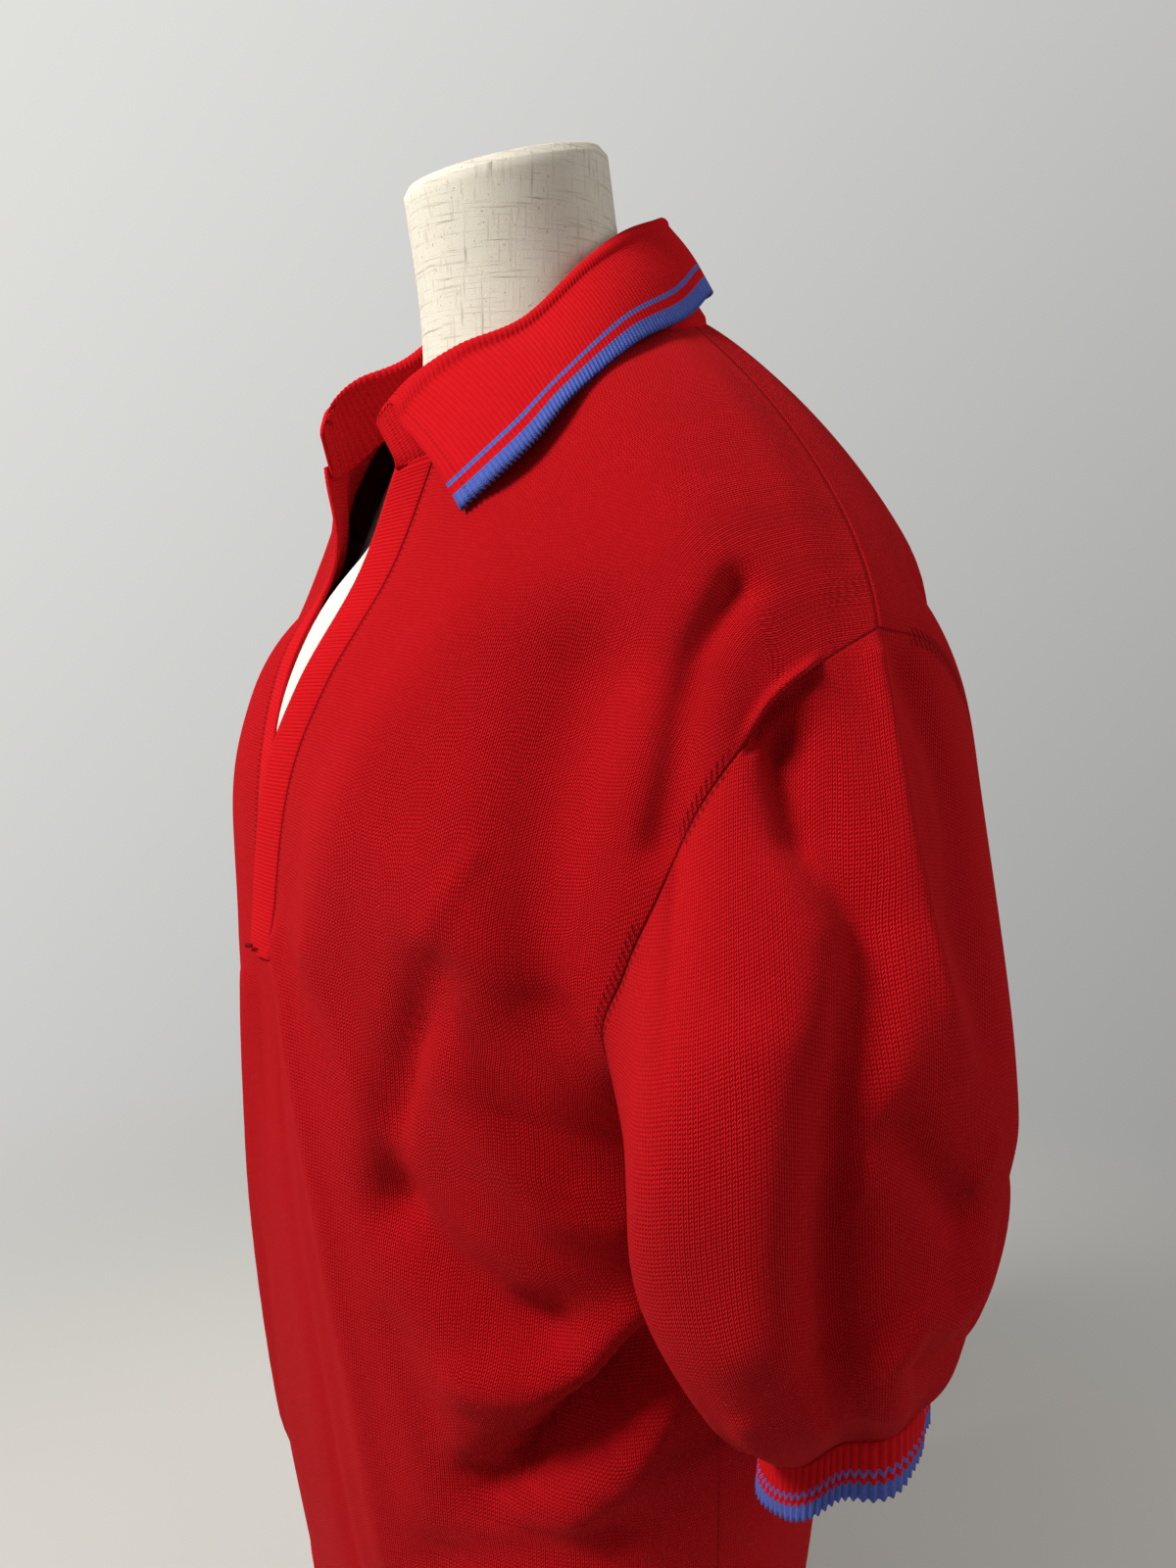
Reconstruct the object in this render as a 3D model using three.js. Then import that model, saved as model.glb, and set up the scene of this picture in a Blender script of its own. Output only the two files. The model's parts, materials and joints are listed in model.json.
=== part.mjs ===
// Short-sleeved knitted polo shirt, open at the neck, worn on a limbless dress form with a round foot.
// Millimetres, +Z up. The origin is on the floor under the middle of the form, the front faces -Y,
// and +X is the wearer's left. Heights in the tables are measured from the neck end of the shoulder seam.
import * as THREE from 'three';

const SHOULDER_Z = 830;
const WALL = 2;
const SEAM_GAP = 0.62;
const SEAM_DROOP = 0.25;
const LEAST_TILT = 0.3;
const DOWN = new THREE.Vector3(0, 0, -1);
const PANEL_COLUMNS = 9;
const SLEEVE_STEPS = 3;
const CUFF_RIBS = 70;
const CUFF_RIB_DEPTH = 0.9;
const CUFF_HEIGHT = 24;
const HEM_HEIGHT = 46;
const HEM_COLUMNS = 30;
const HEM_NARROWING = 0.02;
const COLLAR_COLUMNS = 14;
const COLLAR_LIFT = 0.7;
const STAND_STEPS = 3;
const ROLL_STEPS = 4;
const FALL_STEPS = 4;
const BAND_STEPS = 2;
const FORM_SIDES = 32;
const FORM_GAP = 0.3;
const CHEST_WIDTH = 62;
const POLE_RADIUS = 14;
const POLE_SIDES = 24;
const BASE_RADIUS = 140;
const BASE_THICKNESS = 20;
const BASE_ROUNDING = 5;
const BASE_SIDES = 48;
const TORSO_BOTTOM = -714;

const RED_KNIT = { color: 0xb81420, roughness: 0.85, metalness: 0 };
const RED_RIB = { color: 0xa8101c, roughness: 0.88, metalness: 0 };
const BLUE_EDGED_RIB = { color: 0x9c1430, roughness: 0.88, metalness: 0 };
const LINEN = { color: 0xd8d2c4, roughness: 0.9, metalness: 0 };
const CANVAS = { color: 0xe4e0d8, roughness: 0.9, metalness: 0 };
const PAINTED_STEEL = { color: 0xd9d9d6, roughness: 0.45, metalness: 0.2 };

// The side seam, from the underarm down to the rib, which front and back share.
const SIDE_SEAM = [[178, -14, -330], [174, -8, -385], [172, -8, -440], [174, -8, -550], [168, -8, -655]];

// The shoulder seam: its neck end, two handles that bend it over the shoulder, and its sleeve end.
const SHOULDER_SEAM = { edge: [66, 38, 10], near: [105, 46, -14], far: [186, 40, -72], side: [214, 24, -120] };

// Left half of the front, a row for each section from the shoulder seam down to the rib.
// edge is the neckline, then the slit, then the middle; side is the armhole, then the side seam;
// near and far are the handles that bend the section between them; steps is the mesh rows below it.
const FRONT_SECTIONS = [
  { ...SHOULDER_SEAM, steps: 2 },
  { edge: [69, 8, 2], near: [118, 6, -8], far: [196, 8, -72], side: [215, -5, -133], steps: 2 },
  { edge: [68, -34, -16], near: [116, -42, -20], far: [194, -44, -78], side: [212, -28, -150], steps: 2 },
  { edge: [56, -82, -50], near: [104, -84, -71], far: [178, -73, -117], side: [205, -47, -181], steps: 2 },
  { edge: [50, -101, -100], near: [98, -113, -121], far: [168, -96, -165], side: [198, -60, -215], steps: 2 },
  { edge: [36, -127, -150], near: [90, -140, -168], far: [166, -112, -208], side: [191, -70, -246], steps: 2 },
  { edge: [22, -142, -200], near: [86, -152, -215], far: [166, -122, -248], side: [184, -72, -283], steps: 3 },
  { edge: [11, -149, -278], near: [96, -156, -285], far: [178, -96, -322], side: SIDE_SEAM[0], steps: 3 },
  { edge: [11, -149, -345], near: [100, -155, -352], far: [182, -92, -375], side: SIDE_SEAM[1], steps: 3 },
  { edge: [11, -146, -430], near: [102, -152, -435], far: [180, -88, -440], side: SIDE_SEAM[2], steps: 4 },
  { edge: [11, -136, -550], near: [100, -141, -550], far: [180, -84, -550], side: SIDE_SEAM[3], steps: 3 },
  { edge: [11, -121, -655], near: [96, -126, -655], far: [174, -76, -655], side: SIDE_SEAM[4], steps: 0 },
];
const PLACKET_TOP = 3;
const PLACKET_FOOT = 7;

// Left half of the back, in the same way; edge is the back neckline, then the middle of the back.
const BACK_SECTIONS = [
  { ...SHOULDER_SEAM, steps: 2 },
  { edge: [40, 62, 17], near: [98, 72, -10], far: [182, 74, -88], side: [209, 57, -128], steps: 2 },
  { edge: [8, 70, 18], near: [90, 96, -10], far: [177, 102, -106], side: [203, 82, -152], steps: 2 },
  { edge: [8, 92, -20], near: [86, 112, -36], far: [171, 113, -131], side: [200, 96, -185], steps: 2 },
  { edge: [8, 112, -70], near: [84, 128, -84], far: [168, 128, -165], side: [197, 104, -225], steps: 2 },
  { edge: [8, 124, -130], near: [84, 138, -140], far: [166, 130, -205], side: [193, 100, -260], steps: 2 },
  { edge: [8, 128, -200], near: [84, 140, -206], far: [172, 120, -262], side: [187, 68, -298], steps: 2 },
  { edge: [8, 127, -278], near: [88, 138, -292], far: [175, 92, -348], side: SIDE_SEAM[0], steps: 3 },
  { edge: [8, 125, -345], near: [90, 136, -354], far: [176, 84, -392], side: SIDE_SEAM[1], steps: 3 },
  { edge: [8, 124, -430], near: [92, 134, -435], far: [180, 82, -440], side: SIDE_SEAM[2], steps: 4 },
  { edge: [8, 121, -550], near: [92, 129, -550], far: [177, 77, -550], side: SIDE_SEAM[3], steps: 3 },
  { edge: [8, 110, -655], near: [88, 117, -655], far: [167, 71, -655], side: SIDE_SEAM[4], steps: 0 },
];
const BACK_NECK = 2;
const UNDERARM = 7;

// Free edges of the two placket bands, a row for each front section beside them.
// At the foot the wearer's left band lies on the right one.
const LEFT_BAND_EDGE = [
  [41, -95, -56], [30, -109, -102], [15, -134, -152], [0, -147.4, -201], [-10, -152.8, -278],
];
const RIGHT_BAND_EDGE = [
  [43, -99, -56], [27, -101, -98], [15, -129, -150], [0, -143.4, -201], [-10, -145.8, -278],
];

// Left half of the collar from the middle of the back to the front end. base is on the neckline,
// fold is the top of the roll, edge is the outer edge, and roll is the radius of the roll.
const COLLAR_SECTIONS = [
  { base: [0, 70, 18], fold: [0, 62, 71], edge: [0, 90, 37], roll: 3.5 },
  { base: [40, 62, 17], fold: [27, 44, 63], edge: [35, 70, 33], roll: 3.5 },
  { base: [66, 38, 10], fold: [48, 14, 50], edge: [70, 34, 13], roll: 4 },
  { base: [69, 8, 2], fold: [60, -14, 32], edge: [94, -8, -5], roll: 4 },
  { base: [68, -34, -16], fold: [65, -46, 5], edge: [111, -48, -31], roll: 4.5 },
  { base: [63, -60, -32], fold: [61, -74, -8], edge: [113, -66, -49], roll: 5 },
  { base: [54, -82, -49], fold: [51, -90, -20], edge: [106, -78, -62], roll: 6 },
  { base: [41, -95.5, -55], fold: [40, -98, -31], edge: [92, -89, -76], roll: 8 },
];
// On the right side the last sections of the fall swing further back.
const RIGHT_COLLAR_EDGES = { 5: [114, -56, -42], 6: [110, -58, -44], 7: [104, -60, -45] };
const FALL_BOW = 1.5;

// Left sleeve below the armhole: each ring's middle, its half length front to back, its half width,
// the turn of its long axis in degrees, and how its outer side and its front rise above its middle.
const SLEEVE_RINGS = [
  { centre: [228, -3, -300], long: 84, wide: 44, turn: 0, rise: 50, front: 6, steps: 3 },
  { centre: [231, 1, -352], long: 86, wide: 46, turn: 4, rise: 16, front: 0, steps: 3 },
  { centre: [228, 12, -398], long: 74, wide: 43, turn: 18, rise: 10, front: -6, steps: 3 },
  { centre: [222, 18, -428], long: 50, wide: 32, turn: 40, rise: 13, front: -10, steps: 0 },
];
const GATHERS = { waves: 13, depth: 2.6, reach: 26 };
const CUFF_SLANT = { shift: [-2, 2, -CUFF_HEIGHT], spread: 1.5 };

// Folds: a line of points on the cloth, the half width at its two ends and the depth, minus is a trough.
const FRONT_LEFT_FOLDS = [
  { line: [[181, -18, -106], [176, -30, -130], [174, -38, -158], [172, -48, -190]],
    width: [14, 12], depth: -9 },
  { line: [[118, -90, -152], [112, -100, -182], [105, -112, -222], [96, -120, -270], [84, -132, -330]],
    width: [20, 16], depth: -7 },
  { line: [[24, -150, -268], [34, -150, -335], [46, -146, -430], [56, -138, -500], [66, -128, -580]],
    width: [9, 12], depth: 4 },
  { line: [[96, -128, -362], [130, -98, -374], [154, -70, -388], [170, -48, -398]],
    width: [20, 16], depth: -9 },
  { line: [[128, -98, -486], [150, -70, -456], [166, -42, -420], [174, -20, -392]],
    width: [12, 16], depth: -14 },
  { line: [[136, -94, -452], [156, -60, -424], [168, -40, -400]], width: [12, 12], depth: 7 },
  { line: [[112, -112, -532], [140, -84, -512], [160, -56, -500]], width: [14, 12], depth: -7 },
];
const FRONT_RIGHT_FOLDS = [
  { line: [[60, -84, -66], [66, -100, -98], [104, -92, -104]], width: [30, 34], depth: -13 },
  { line: [[182, -16, -106], [177, -32, -134], [174, -42, -166], [170, -54, -196]],
    width: [13, 13], depth: -8 },
  { line: [[108, -96, -160], [104, -106, -196], [92, -118, -250], [78, -134, -318]],
    width: [18, 18], depth: -6 },
  { line: [[30, -150, -300], [40, -148, -380], [58, -140, -470], [74, -126, -570]],
    width: [10, 12], depth: 3.5 },
  { line: [[104, -122, -372], [136, -94, -388], [160, -62, -404]], width: [18, 14], depth: -8 },
  { line: [[122, -104, -478], [150, -70, -448], [170, -34, -410]], width: [13, 15], depth: -12 },
];
const BACK_LEFT_FOLDS = [
  { line: [[176, 82, -108], [170, 100, -150], [160, 112, -200]], width: [14, 14], depth: -8 },
  { line: [[110, 124, -180], [96, 130, -260], [84, 130, -350]], width: [18, 18], depth: -5 },
  { line: [[90, 124, -390], [130, 98, -400], [160, 60, -410]], width: [18, 14], depth: -9 },
  { line: [[110, 112, -500], [140, 88, -470], [166, 44, -430]], width: [14, 14], depth: -10 },
];
const BACK_RIGHT_FOLDS = [
  { line: [[178, 80, -112], [170, 102, -160], [158, 114, -212]], width: [13, 15], depth: -7 },
  { line: [[104, 126, -200], [92, 130, -290], [74, 130, -380]], width: [20, 16], depth: -5 },
  { line: [[84, 126, -420], [122, 104, -424], [158, 64, -420]], width: [16, 16], depth: -8 },
  { line: [[100, 118, -530], [134, 92, -496], [164, 46, -452]], width: [14, 13], depth: -9 },
];
const LEFT_SLEEVE_FOLDS = [
  { line: [[222, -24, -160], [236, -28, -184]], width: [14, 14], depth: -7 },
  { line: [[226, 22, -150], [250, 24, -205], [262, 32, -270]], width: [9, 14], depth: 5 },
  { line: [[258, -48, -255], [266, -38, -305], [262, -28, -350], [248, -18, -395], [238, -10, -424]],
    width: [16, 12], depth: -13 },
  { line: [[246, 62, -330], [256, 50, -372], [246, 40, -405]], width: [12, 10], depth: -6 },
];
const RIGHT_SLEEVE_FOLDS = [
  { line: [[222, -20, -158], [238, -26, -190]], width: [14, 14], depth: -6 },
  { line: [[226, 24, -150], [250, 28, -210], [264, 34, -280]], width: [10, 14], depth: 4.5 },
  { line: [[256, -52, -262], [266, -40, -312], [260, -30, -360], [246, -20, -404]],
    width: [15, 13], depth: -11 },
  { line: [[250, 56, -322], [256, 52, -362], [246, 42, -400]], width: [12, 10], depth: -6 },
];

// The form, a row for each level: half width, where along Y it is widest, its reach to front and back,
// and how much further the middle of the chest comes forward.
const TORSO_LEVELS = [
  { z: TORSO_BOTTOM, half: 146, widest: 0, front: 100, back: 96 },
  { z: -650, half: 152, widest: 0, front: 104, back: 99 },
  { z: -560, half: 156, widest: 0, front: 110, back: 104 },
  { z: -460, half: 138, widest: 0, front: 106, back: 96 },
  { z: -380, half: 124, widest: 0, front: 100, back: 84 },
  { z: -290, half: 142, widest: 0, front: 122, back: 96, chest: 3 },
  { z: -240, half: 153, widest: 0, front: 130, back: 103, chest: 6 },
  { z: -200, half: 161, widest: 4, front: 127, back: 105, chest: 9 },
  { z: -160, half: 169, widest: 8, front: 114, back: 103, chest: 13 },
  { z: -120, half: 175, widest: 12, front: 91, back: 97, chest: 17 },
  { z: -88, half: 178, widest: 15, front: 74, back: 88, chest: 9 },
  { z: -64, half: 166, widest: 15, front: 64, back: 79, chest: 1 },
  { z: -42, half: 137, widest: 15, front: 57, back: 71 },
  { z: -26, half: 112, widest: 15, front: 52, back: 65 },
  { z: -14, half: 78, widest: 10, front: 53, back: 58 },
];
// The neck, a row for each ring: its middle, half width, half depth and how much its back is raised.
const NECK_LEVELS = [
  { centre: [0, -7, -14 + FORM_GAP], half: 60, depth: 53, raise: 0 },
  { centre: [0, -9, 4], half: 55, depth: 51, raise: 3 },
  { centre: [0, -15, 36], half: 50, depth: 48, raise: 7 },
  { centre: [0, -22, 78], half: 49, depth: 47, raise: 11 },
  { centre: [0, -23, 82], half: 46, depth: 44, raise: 11 },
];

function place([x, y, z]) {
  return new THREE.Vector3(x, y, z + SHOULDER_Z);
}

function material(look) {
  return new THREE.MeshStandardMaterial(look);
}

// A rail is a smooth curve through one column of a table, broken at the rows that are corners.
function rail(points, corners = []) {
  const stops = [0, ...corners, points.length - 1];
  const runs = stops.slice(1).map((end, i) => {
    const start = stops[i];
    const stretch = points.slice(start, end + 1).map(place);
    const curve = new THREE.CatmullRomCurve3(stretch, false, 'catmullrom', 0.5);
    return { start, end, curve };
  });
  return (row) => {
    const run = runs.find(({ end }) => row <= end);
    return run.curve.getPoint((row - run.start) / (run.end - run.start));
  };
}

// The row values at which a table is sampled, from the steps that each row asks for.
function rowValues(table) {
  const values = [];
  table.forEach(({ steps }, row) => {
    for (let step = 0; step < steps; step += 1) values.push(row + step / steps);
  });
  values.push(table.length - 1);
  return values;
}

// How far a point of the cloth moves along its normal because of the folds near it.
function foldHeight(point, folds) {
  let height = 0;
  for (const { line, width, depth } of folds) {
    let nearest = Infinity;
    let along = 0;
    for (let i = 0; i + 1 < line.length; i += 1) {
      const span = new THREE.Line3(place(line[i]), place(line[i + 1]));
      const t = span.closestPointToPointParameter(point, true);
      const distance = span.at(t, new THREE.Vector3()).distanceTo(point);
      if (distance < nearest) {
        nearest = distance;
        along = (i + t) / (line.length - 1);
      }
    }
    const reach = THREE.MathUtils.lerp(width[0], width[1], along);
    height += depth * Math.exp(-((nearest / reach) ** 2));
  }
  return height;
}

// A sheet is a grid of knots: a point on the outer face, its normal, and its shift away from a seam.
// side is 1 where the normal follows the rows turned into the columns, and -1 where it is the reverse.
function sheet(rows, columns, pointAt, { closed = false, side = 1 } = {}) {
  const grid = [];
  for (let i = 0; i < rows; i += 1) {
    const row = [];
    for (let j = 0; j < columns; j += 1) {
      row.push({ point: pointAt(i, j), normal: new THREE.Vector3(), shift: new THREE.Vector3() });
    }
    grid.push(row);
  }
  const made = { grid, rows, columns, closed, side };
  setNormals(made);
  return made;
}

function setNormals({ grid, rows, columns, closed, side }) {
  for (let i = 0; i < rows; i += 1) {
    for (let j = 0; j < columns; j += 1) {
      const up = grid[Math.max(i - 1, 0)][j].point;
      const down = grid[Math.min(i + 1, rows - 1)][j].point;
      const left = closed ? (j + columns - 1) % columns : Math.max(j - 1, 0);
      const right = closed ? (j + 1) % columns : Math.min(j + 1, columns - 1);
      const across = grid[i][right].point.clone().sub(grid[i][left].point);
      grid[i][j].normal.crossVectors(down.clone().sub(up), across).multiplyScalar(side).normalize();
    }
  }
}

function foldSheet(made, folds) {
  const heights = made.grid.map((row) => row.map(({ point }) => foldHeight(point, folds)));
  made.grid.forEach((row, i) => row.forEach(({ point, normal }, j) => {
    point.addScaledVector(normal, heights[i][j]);
  }));
  setNormals(made);
}

function middle(knots) {
  return knots.reduce((sum, { point }) => sum.add(point), new THREE.Vector3()).divideScalar(knots.length);
}

// Joins two edges knot by knot: one line, one normal, and half the seam gap of room on each side.
function seam(edgeA, edgeB, bodyA, bodyB, closed = false) {
  const toB = middle(bodyB.grid.flat()).sub(middle(bodyA.grid.flat()));
  edgeA.forEach((knot, k) => {
    const mean = knot.point.clone().add(edgeB[k].point).multiplyScalar(0.5);
    knot.point.copy(mean);
    edgeB[k].point.copy(mean);
  });
  edgeA.forEach((knot, k) => {
    const last = edgeA.length - 1;
    const before = edgeA[k > 0 ? k - 1 : (closed ? last : 0)].point;
    const after = edgeA[k < last ? k + 1 : (closed ? 0 : last)].point;
    const normal = knot.normal.clone().add(edgeB[k].normal).addScaledVector(DOWN, SEAM_DROOP).normalize();
    const along = after.clone().sub(before).normalize();
    const across = toB.clone().projectOnPlane(along);
    const outward = normal.clone().projectOnPlane(along);
    if (outward.length() > LEAST_TILT) across.projectOnPlane(outward.normalize());
    across.normalize();
    knot.shift.addScaledVector(across, -SEAM_GAP / 2);
    edgeB[k].shift.addScaledVector(across, SEAM_GAP / 2);
    knot.normal.copy(normal);
    edgeB[k].normal.copy(normal);
  });
}

// Turns sheets into one closed wall. Each patch is four knots, counterclockwise from outside;
// edges that only one patch uses are closed by a strip from the outer to the inner face.
function wall(patches, thickness = WALL) {
  const positions = [];
  const index = [];
  const numbers = new Map();
  const number = (knot) => {
    if (!numbers.has(knot)) {
      numbers.set(knot, positions.length / 3);
      const outer = knot.point.clone().add(knot.shift);
      const inner = (knot.inner ?? knot.point).clone().add(knot.shift);
      inner.addScaledVector(knot.normal, -thickness);
      positions.push(...outer.toArray(), ...inner.toArray());
    }
    return numbers.get(knot);
  };
  const edges = new Map();
  for (const patch of patches) {
    const [a, b, c, d] = patch.map(number);
    index.push(a, b, c, a, c, d);
    index.push(a + 1, c + 1, b + 1, a + 1, d + 1, c + 1);
    for (const [from, to] of [[a, b], [b, c], [c, d], [d, a]]) edges.set(`${from} ${to}`, [from, to]);
  }
  for (const [from, to] of edges.values()) {
    if (!edges.has(`${to} ${from}`)) index.push(to, from, from + 1, to, from + 1, to + 1);
  }
  return geometry(positions, index);
}

function geometry(positions, index) {
  const made = new THREE.BufferGeometry();
  made.setAttribute('position', new THREE.Float32BufferAttribute(positions, 3));
  made.setIndex(index);
  made.computeVertexNormals();
  return made;
}

function sheetPatches({ grid, rows, columns, closed, side }) {
  const patches = [];
  for (let i = 0; i + 1 < rows; i += 1) {
    for (let j = 0; j < (closed ? columns : columns - 1); j += 1) {
      const next = (j + 1) % columns;
      const patch = [grid[i][j], grid[i + 1][j], grid[i + 1][next], grid[i][next]];
      patches.push(side > 0 ? patch : patch.reverse());
    }
  }
  return patches;
}

// A solid through rings of points, closed by a flat fan at each end. Rings run counterclockwise from above.
function ringSolid(rings) {
  const sides = rings[0].length;
  const positions = rings.flat().flatMap((point) => point.toArray());
  const index = [];
  for (let i = 0; i + 1 < rings.length; i += 1) {
    for (let j = 0; j < sides; j += 1) {
      const [a, b] = [i * sides + j, i * sides + ((j + 1) % sides)];
      index.push(a, b, b + sides, a, b + sides, a + sides);
    }
  }
  const addCap = (ring, start, flip) => {
    const centre = ring.reduce((sum, point) => sum.add(point), new THREE.Vector3()).divideScalar(sides);
    const hub = positions.length / 3;
    positions.push(...centre.toArray());
    for (let j = 0; j < sides; j += 1) {
      const [a, b] = [start + j, start + ((j + 1) % sides)];
      index.push(...(flip ? [hub, b, a] : [hub, a, b]));
    }
  };
  addCap(rings[0], 0, true);
  addCap(rings[rings.length - 1], (rings.length - 1) * sides, false);
  return geometry(positions, index);
}

function mirrored(point, hand) {
  return new THREE.Vector3(point.x * hand, point.y, point.z);
}

// Half of the front or back: sections bent by their handles, sampled from the edge to the side.
// Folds leave the neckline where it is, and reach their full depth one row below it.
function halfPanel(table, { hand, face, corners, folds }) {
  const rails = ['edge', 'near', 'far', 'side'].map((name) => {
    const stops = { edge: corners, side: [UNDERARM] }[name] ?? [];
    return rail(table.map((row) => row[name]), stops);
  });
  const values = rowValues(table);
  const pointAt = (i, j) => {
    const handles = rails.map((curve) => curve(values[i]));
    return new THREE.CubicBezierCurve3(...handles).getPoint(j / PANEL_COLUMNS);
  };
  const made = sheet(values.length, PANEL_COLUMNS + 1, pointAt, { side: face });
  const neckline = made.grid.map((row) => row[0].point.clone());
  foldSheet(made, folds);
  made.grid.forEach((row, i) => {
    const kept = THREE.MathUtils.clamp(corners[0] + 1 - values[i], 0, 1);
    row[0].point.lerp(neckline[i], kept);
  });
  made.grid.flat().forEach(({ point }) => point.copy(mirrored(point, hand)));
  made.side = face * hand;
  setNormals(made);
  made.values = values;
  return made;
}

function sideKnots(half, from, to) {
  const last = half.columns - 1;
  return half.grid.filter((_, i) => half.values[i] >= from && half.values[i] <= to).map((row) => row[last]);
}

function edgeKnots(half, from, to) {
  return half.grid.filter((_, i) => half.values[i] >= from && half.values[i] <= to).map((row) => row[0]);
}

// The strip between the two halves, from the row where the opening ends.
function bridgePatches(left, right, from, face) {
  const patches = [];
  for (let i = left.values.indexOf(from); i + 1 < left.rows; i += 1) {
    const patch = [left.grid[i][0], right.grid[i][0], right.grid[i + 1][0], left.grid[i + 1][0]];
    patches.push(face > 0 ? patch : patch.reverse());
  }
  return patches;
}

// One sleeve: a tube from the armhole's knots, through its rings, to the cuff seam.
function sleeve(armhole, hand, folds) {
  const columns = armhole.length;
  const last = SLEEVE_RINGS.length;
  const steps = [{ steps: SLEEVE_STEPS }, ...SLEEVE_RINGS];
  const values = rowValues(steps);
  const curves = armhole.map(({ knot, angle }) => {
    const start = mirrored(knot.point, hand);
    const points = [start, ...SLEEVE_RINGS.map((ring) => ringPoint(ring, angle))];
    return new THREE.CatmullRomCurve3(points, false, 'catmullrom', 0.5);
  });
  const pointAt = (i, j) => curves[j].getPoint(values[i] / last);
  const made = sheet(values.length, columns, pointAt, { closed: true, side: -1 });
  foldSheet(made, folds);
  gather(made, armhole);
  made.grid.flat().forEach(({ point }) => point.copy(mirrored(point, hand)));
  made.side = -hand;
  setNormals(made);
  return made;
}

function ringPoint({ centre, long, wide, turn, rise, front }, angle) {
  const yaw = THREE.MathUtils.degToRad(turn);
  const [across, ahead] = [wide * Math.cos(angle + yaw), long * Math.sin(angle + yaw)];
  const x = across * Math.cos(yaw) + ahead * Math.sin(yaw);
  const y = across * Math.sin(yaw) - ahead * Math.cos(yaw);
  const z = (rise * x) / wide - (front * y) / long;
  return place([centre[0] + x, centre[1] + y, centre[2] + z]);
}

// Small waves where the sleeve is drawn in to the cuff.
function gather({ grid, rows }, armhole) {
  const seamZ = grid[rows - 1].map(({ point }) => point.z);
  grid.forEach((row) => row.forEach(({ point, normal }, j) => {
    const above = (point.z - seamZ[j]) / GATHERS.reach;
    const wave = Math.sin(GATHERS.waves * armhole[j].angle) * GATHERS.depth;
    point.addScaledVector(normal, wave * above * Math.exp(1 - above) * Math.exp(-above));
  }));
}

// One cuff: fine ribs raised on the outer face over a plain inside.
function cuff(hand) {
  const seamRing = SLEEVE_RINGS[SLEEVE_RINGS.length - 1];
  const { shift, spread } = CUFF_SLANT;
  const edgeRing = {
    ...seamRing,
    centre: seamRing.centre.map((value, axis) => value + shift[axis]),
    long: seamRing.long + spread,
    wide: seamRing.wide + spread,
  };
  const columns = CUFF_RIBS * 2;
  const rings = [seamRing, edgeRing];
  const pointAt = (i, j) => {
    const point = ringPoint(rings[i], (j / columns) * Math.PI * 2);
    if (i === 0) point.z -= SEAM_GAP;
    return mirrored(point, hand);
  };
  const made = sheet(rings.length, columns, pointAt, { closed: true, side: -hand });
  made.grid.forEach((row) => row.forEach((knot, j) => {
    knot.inner = knot.point.clone();
    if (j % 2 === 0) knot.point.addScaledVector(knot.normal, CUFF_RIB_DEPTH);
  }));
  return wall(sheetPatches(made));
}

// One placket band, from the slit's edge to its free edge.
function band(half, freeEdge, hand) {
  const free = rail(freeEdge);
  const knots = edgeKnots(half, PLACKET_TOP, PLACKET_FOOT);
  const values = half.values.filter((value) => value >= PLACKET_TOP && value <= PLACKET_FOOT);
  const pointAt = (i, j) => {
    const to = mirrored(free(values[i] - PLACKET_TOP), hand);
    return knots[i].point.clone().lerp(to, j / BAND_STEPS);
  };
  const made = sheet(values.length, BAND_STEPS + 1, pointAt, { side: -hand });
  seam(knots, made.grid.map((row) => row[0]), half, made);
  made.grid[0].forEach(({ shift }) => shift.setZ(shift.z - SEAM_GAP));
  made.grid[made.rows - 1].forEach(({ shift }) => shift.setZ(shift.z + SEAM_GAP));
  return made;
}

// The collar's section: up the stand, over the roll and down the fall, with a slight outward bow.
function collarSection({ base, fold, edge, roll }) {
  const out = edge.clone().sub(fold).setZ(0).normalize();
  const up = new THREE.Vector3(0, 0, 1);
  const centre = fold.clone().addScaledVector(up, -roll);
  const inside = centre.clone().addScaledVector(out, -roll);
  const outside = centre.clone().addScaledVector(out, roll);
  const points = [];
  for (let k = 0; k < STAND_STEPS; k += 1) points.push(base.clone().lerp(inside, k / STAND_STEPS));
  for (let k = 0; k <= ROLL_STEPS; k += 1) {
    const angle = Math.PI * (1 - k / ROLL_STEPS);
    const onRoll = centre.clone().addScaledVector(out, roll * Math.cos(angle));
    points.push(onRoll.addScaledVector(up, roll * Math.sin(angle)));
  }
  for (let k = 1; k <= FALL_STEPS; k += 1) {
    const t = k / FALL_STEPS;
    const bow = FALL_BOW * Math.sin(Math.PI * t);
    points.push(outside.clone().lerp(edge, t).addScaledVector(up, bow).addScaledVector(out, bow));
  }
  return points;
}

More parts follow.
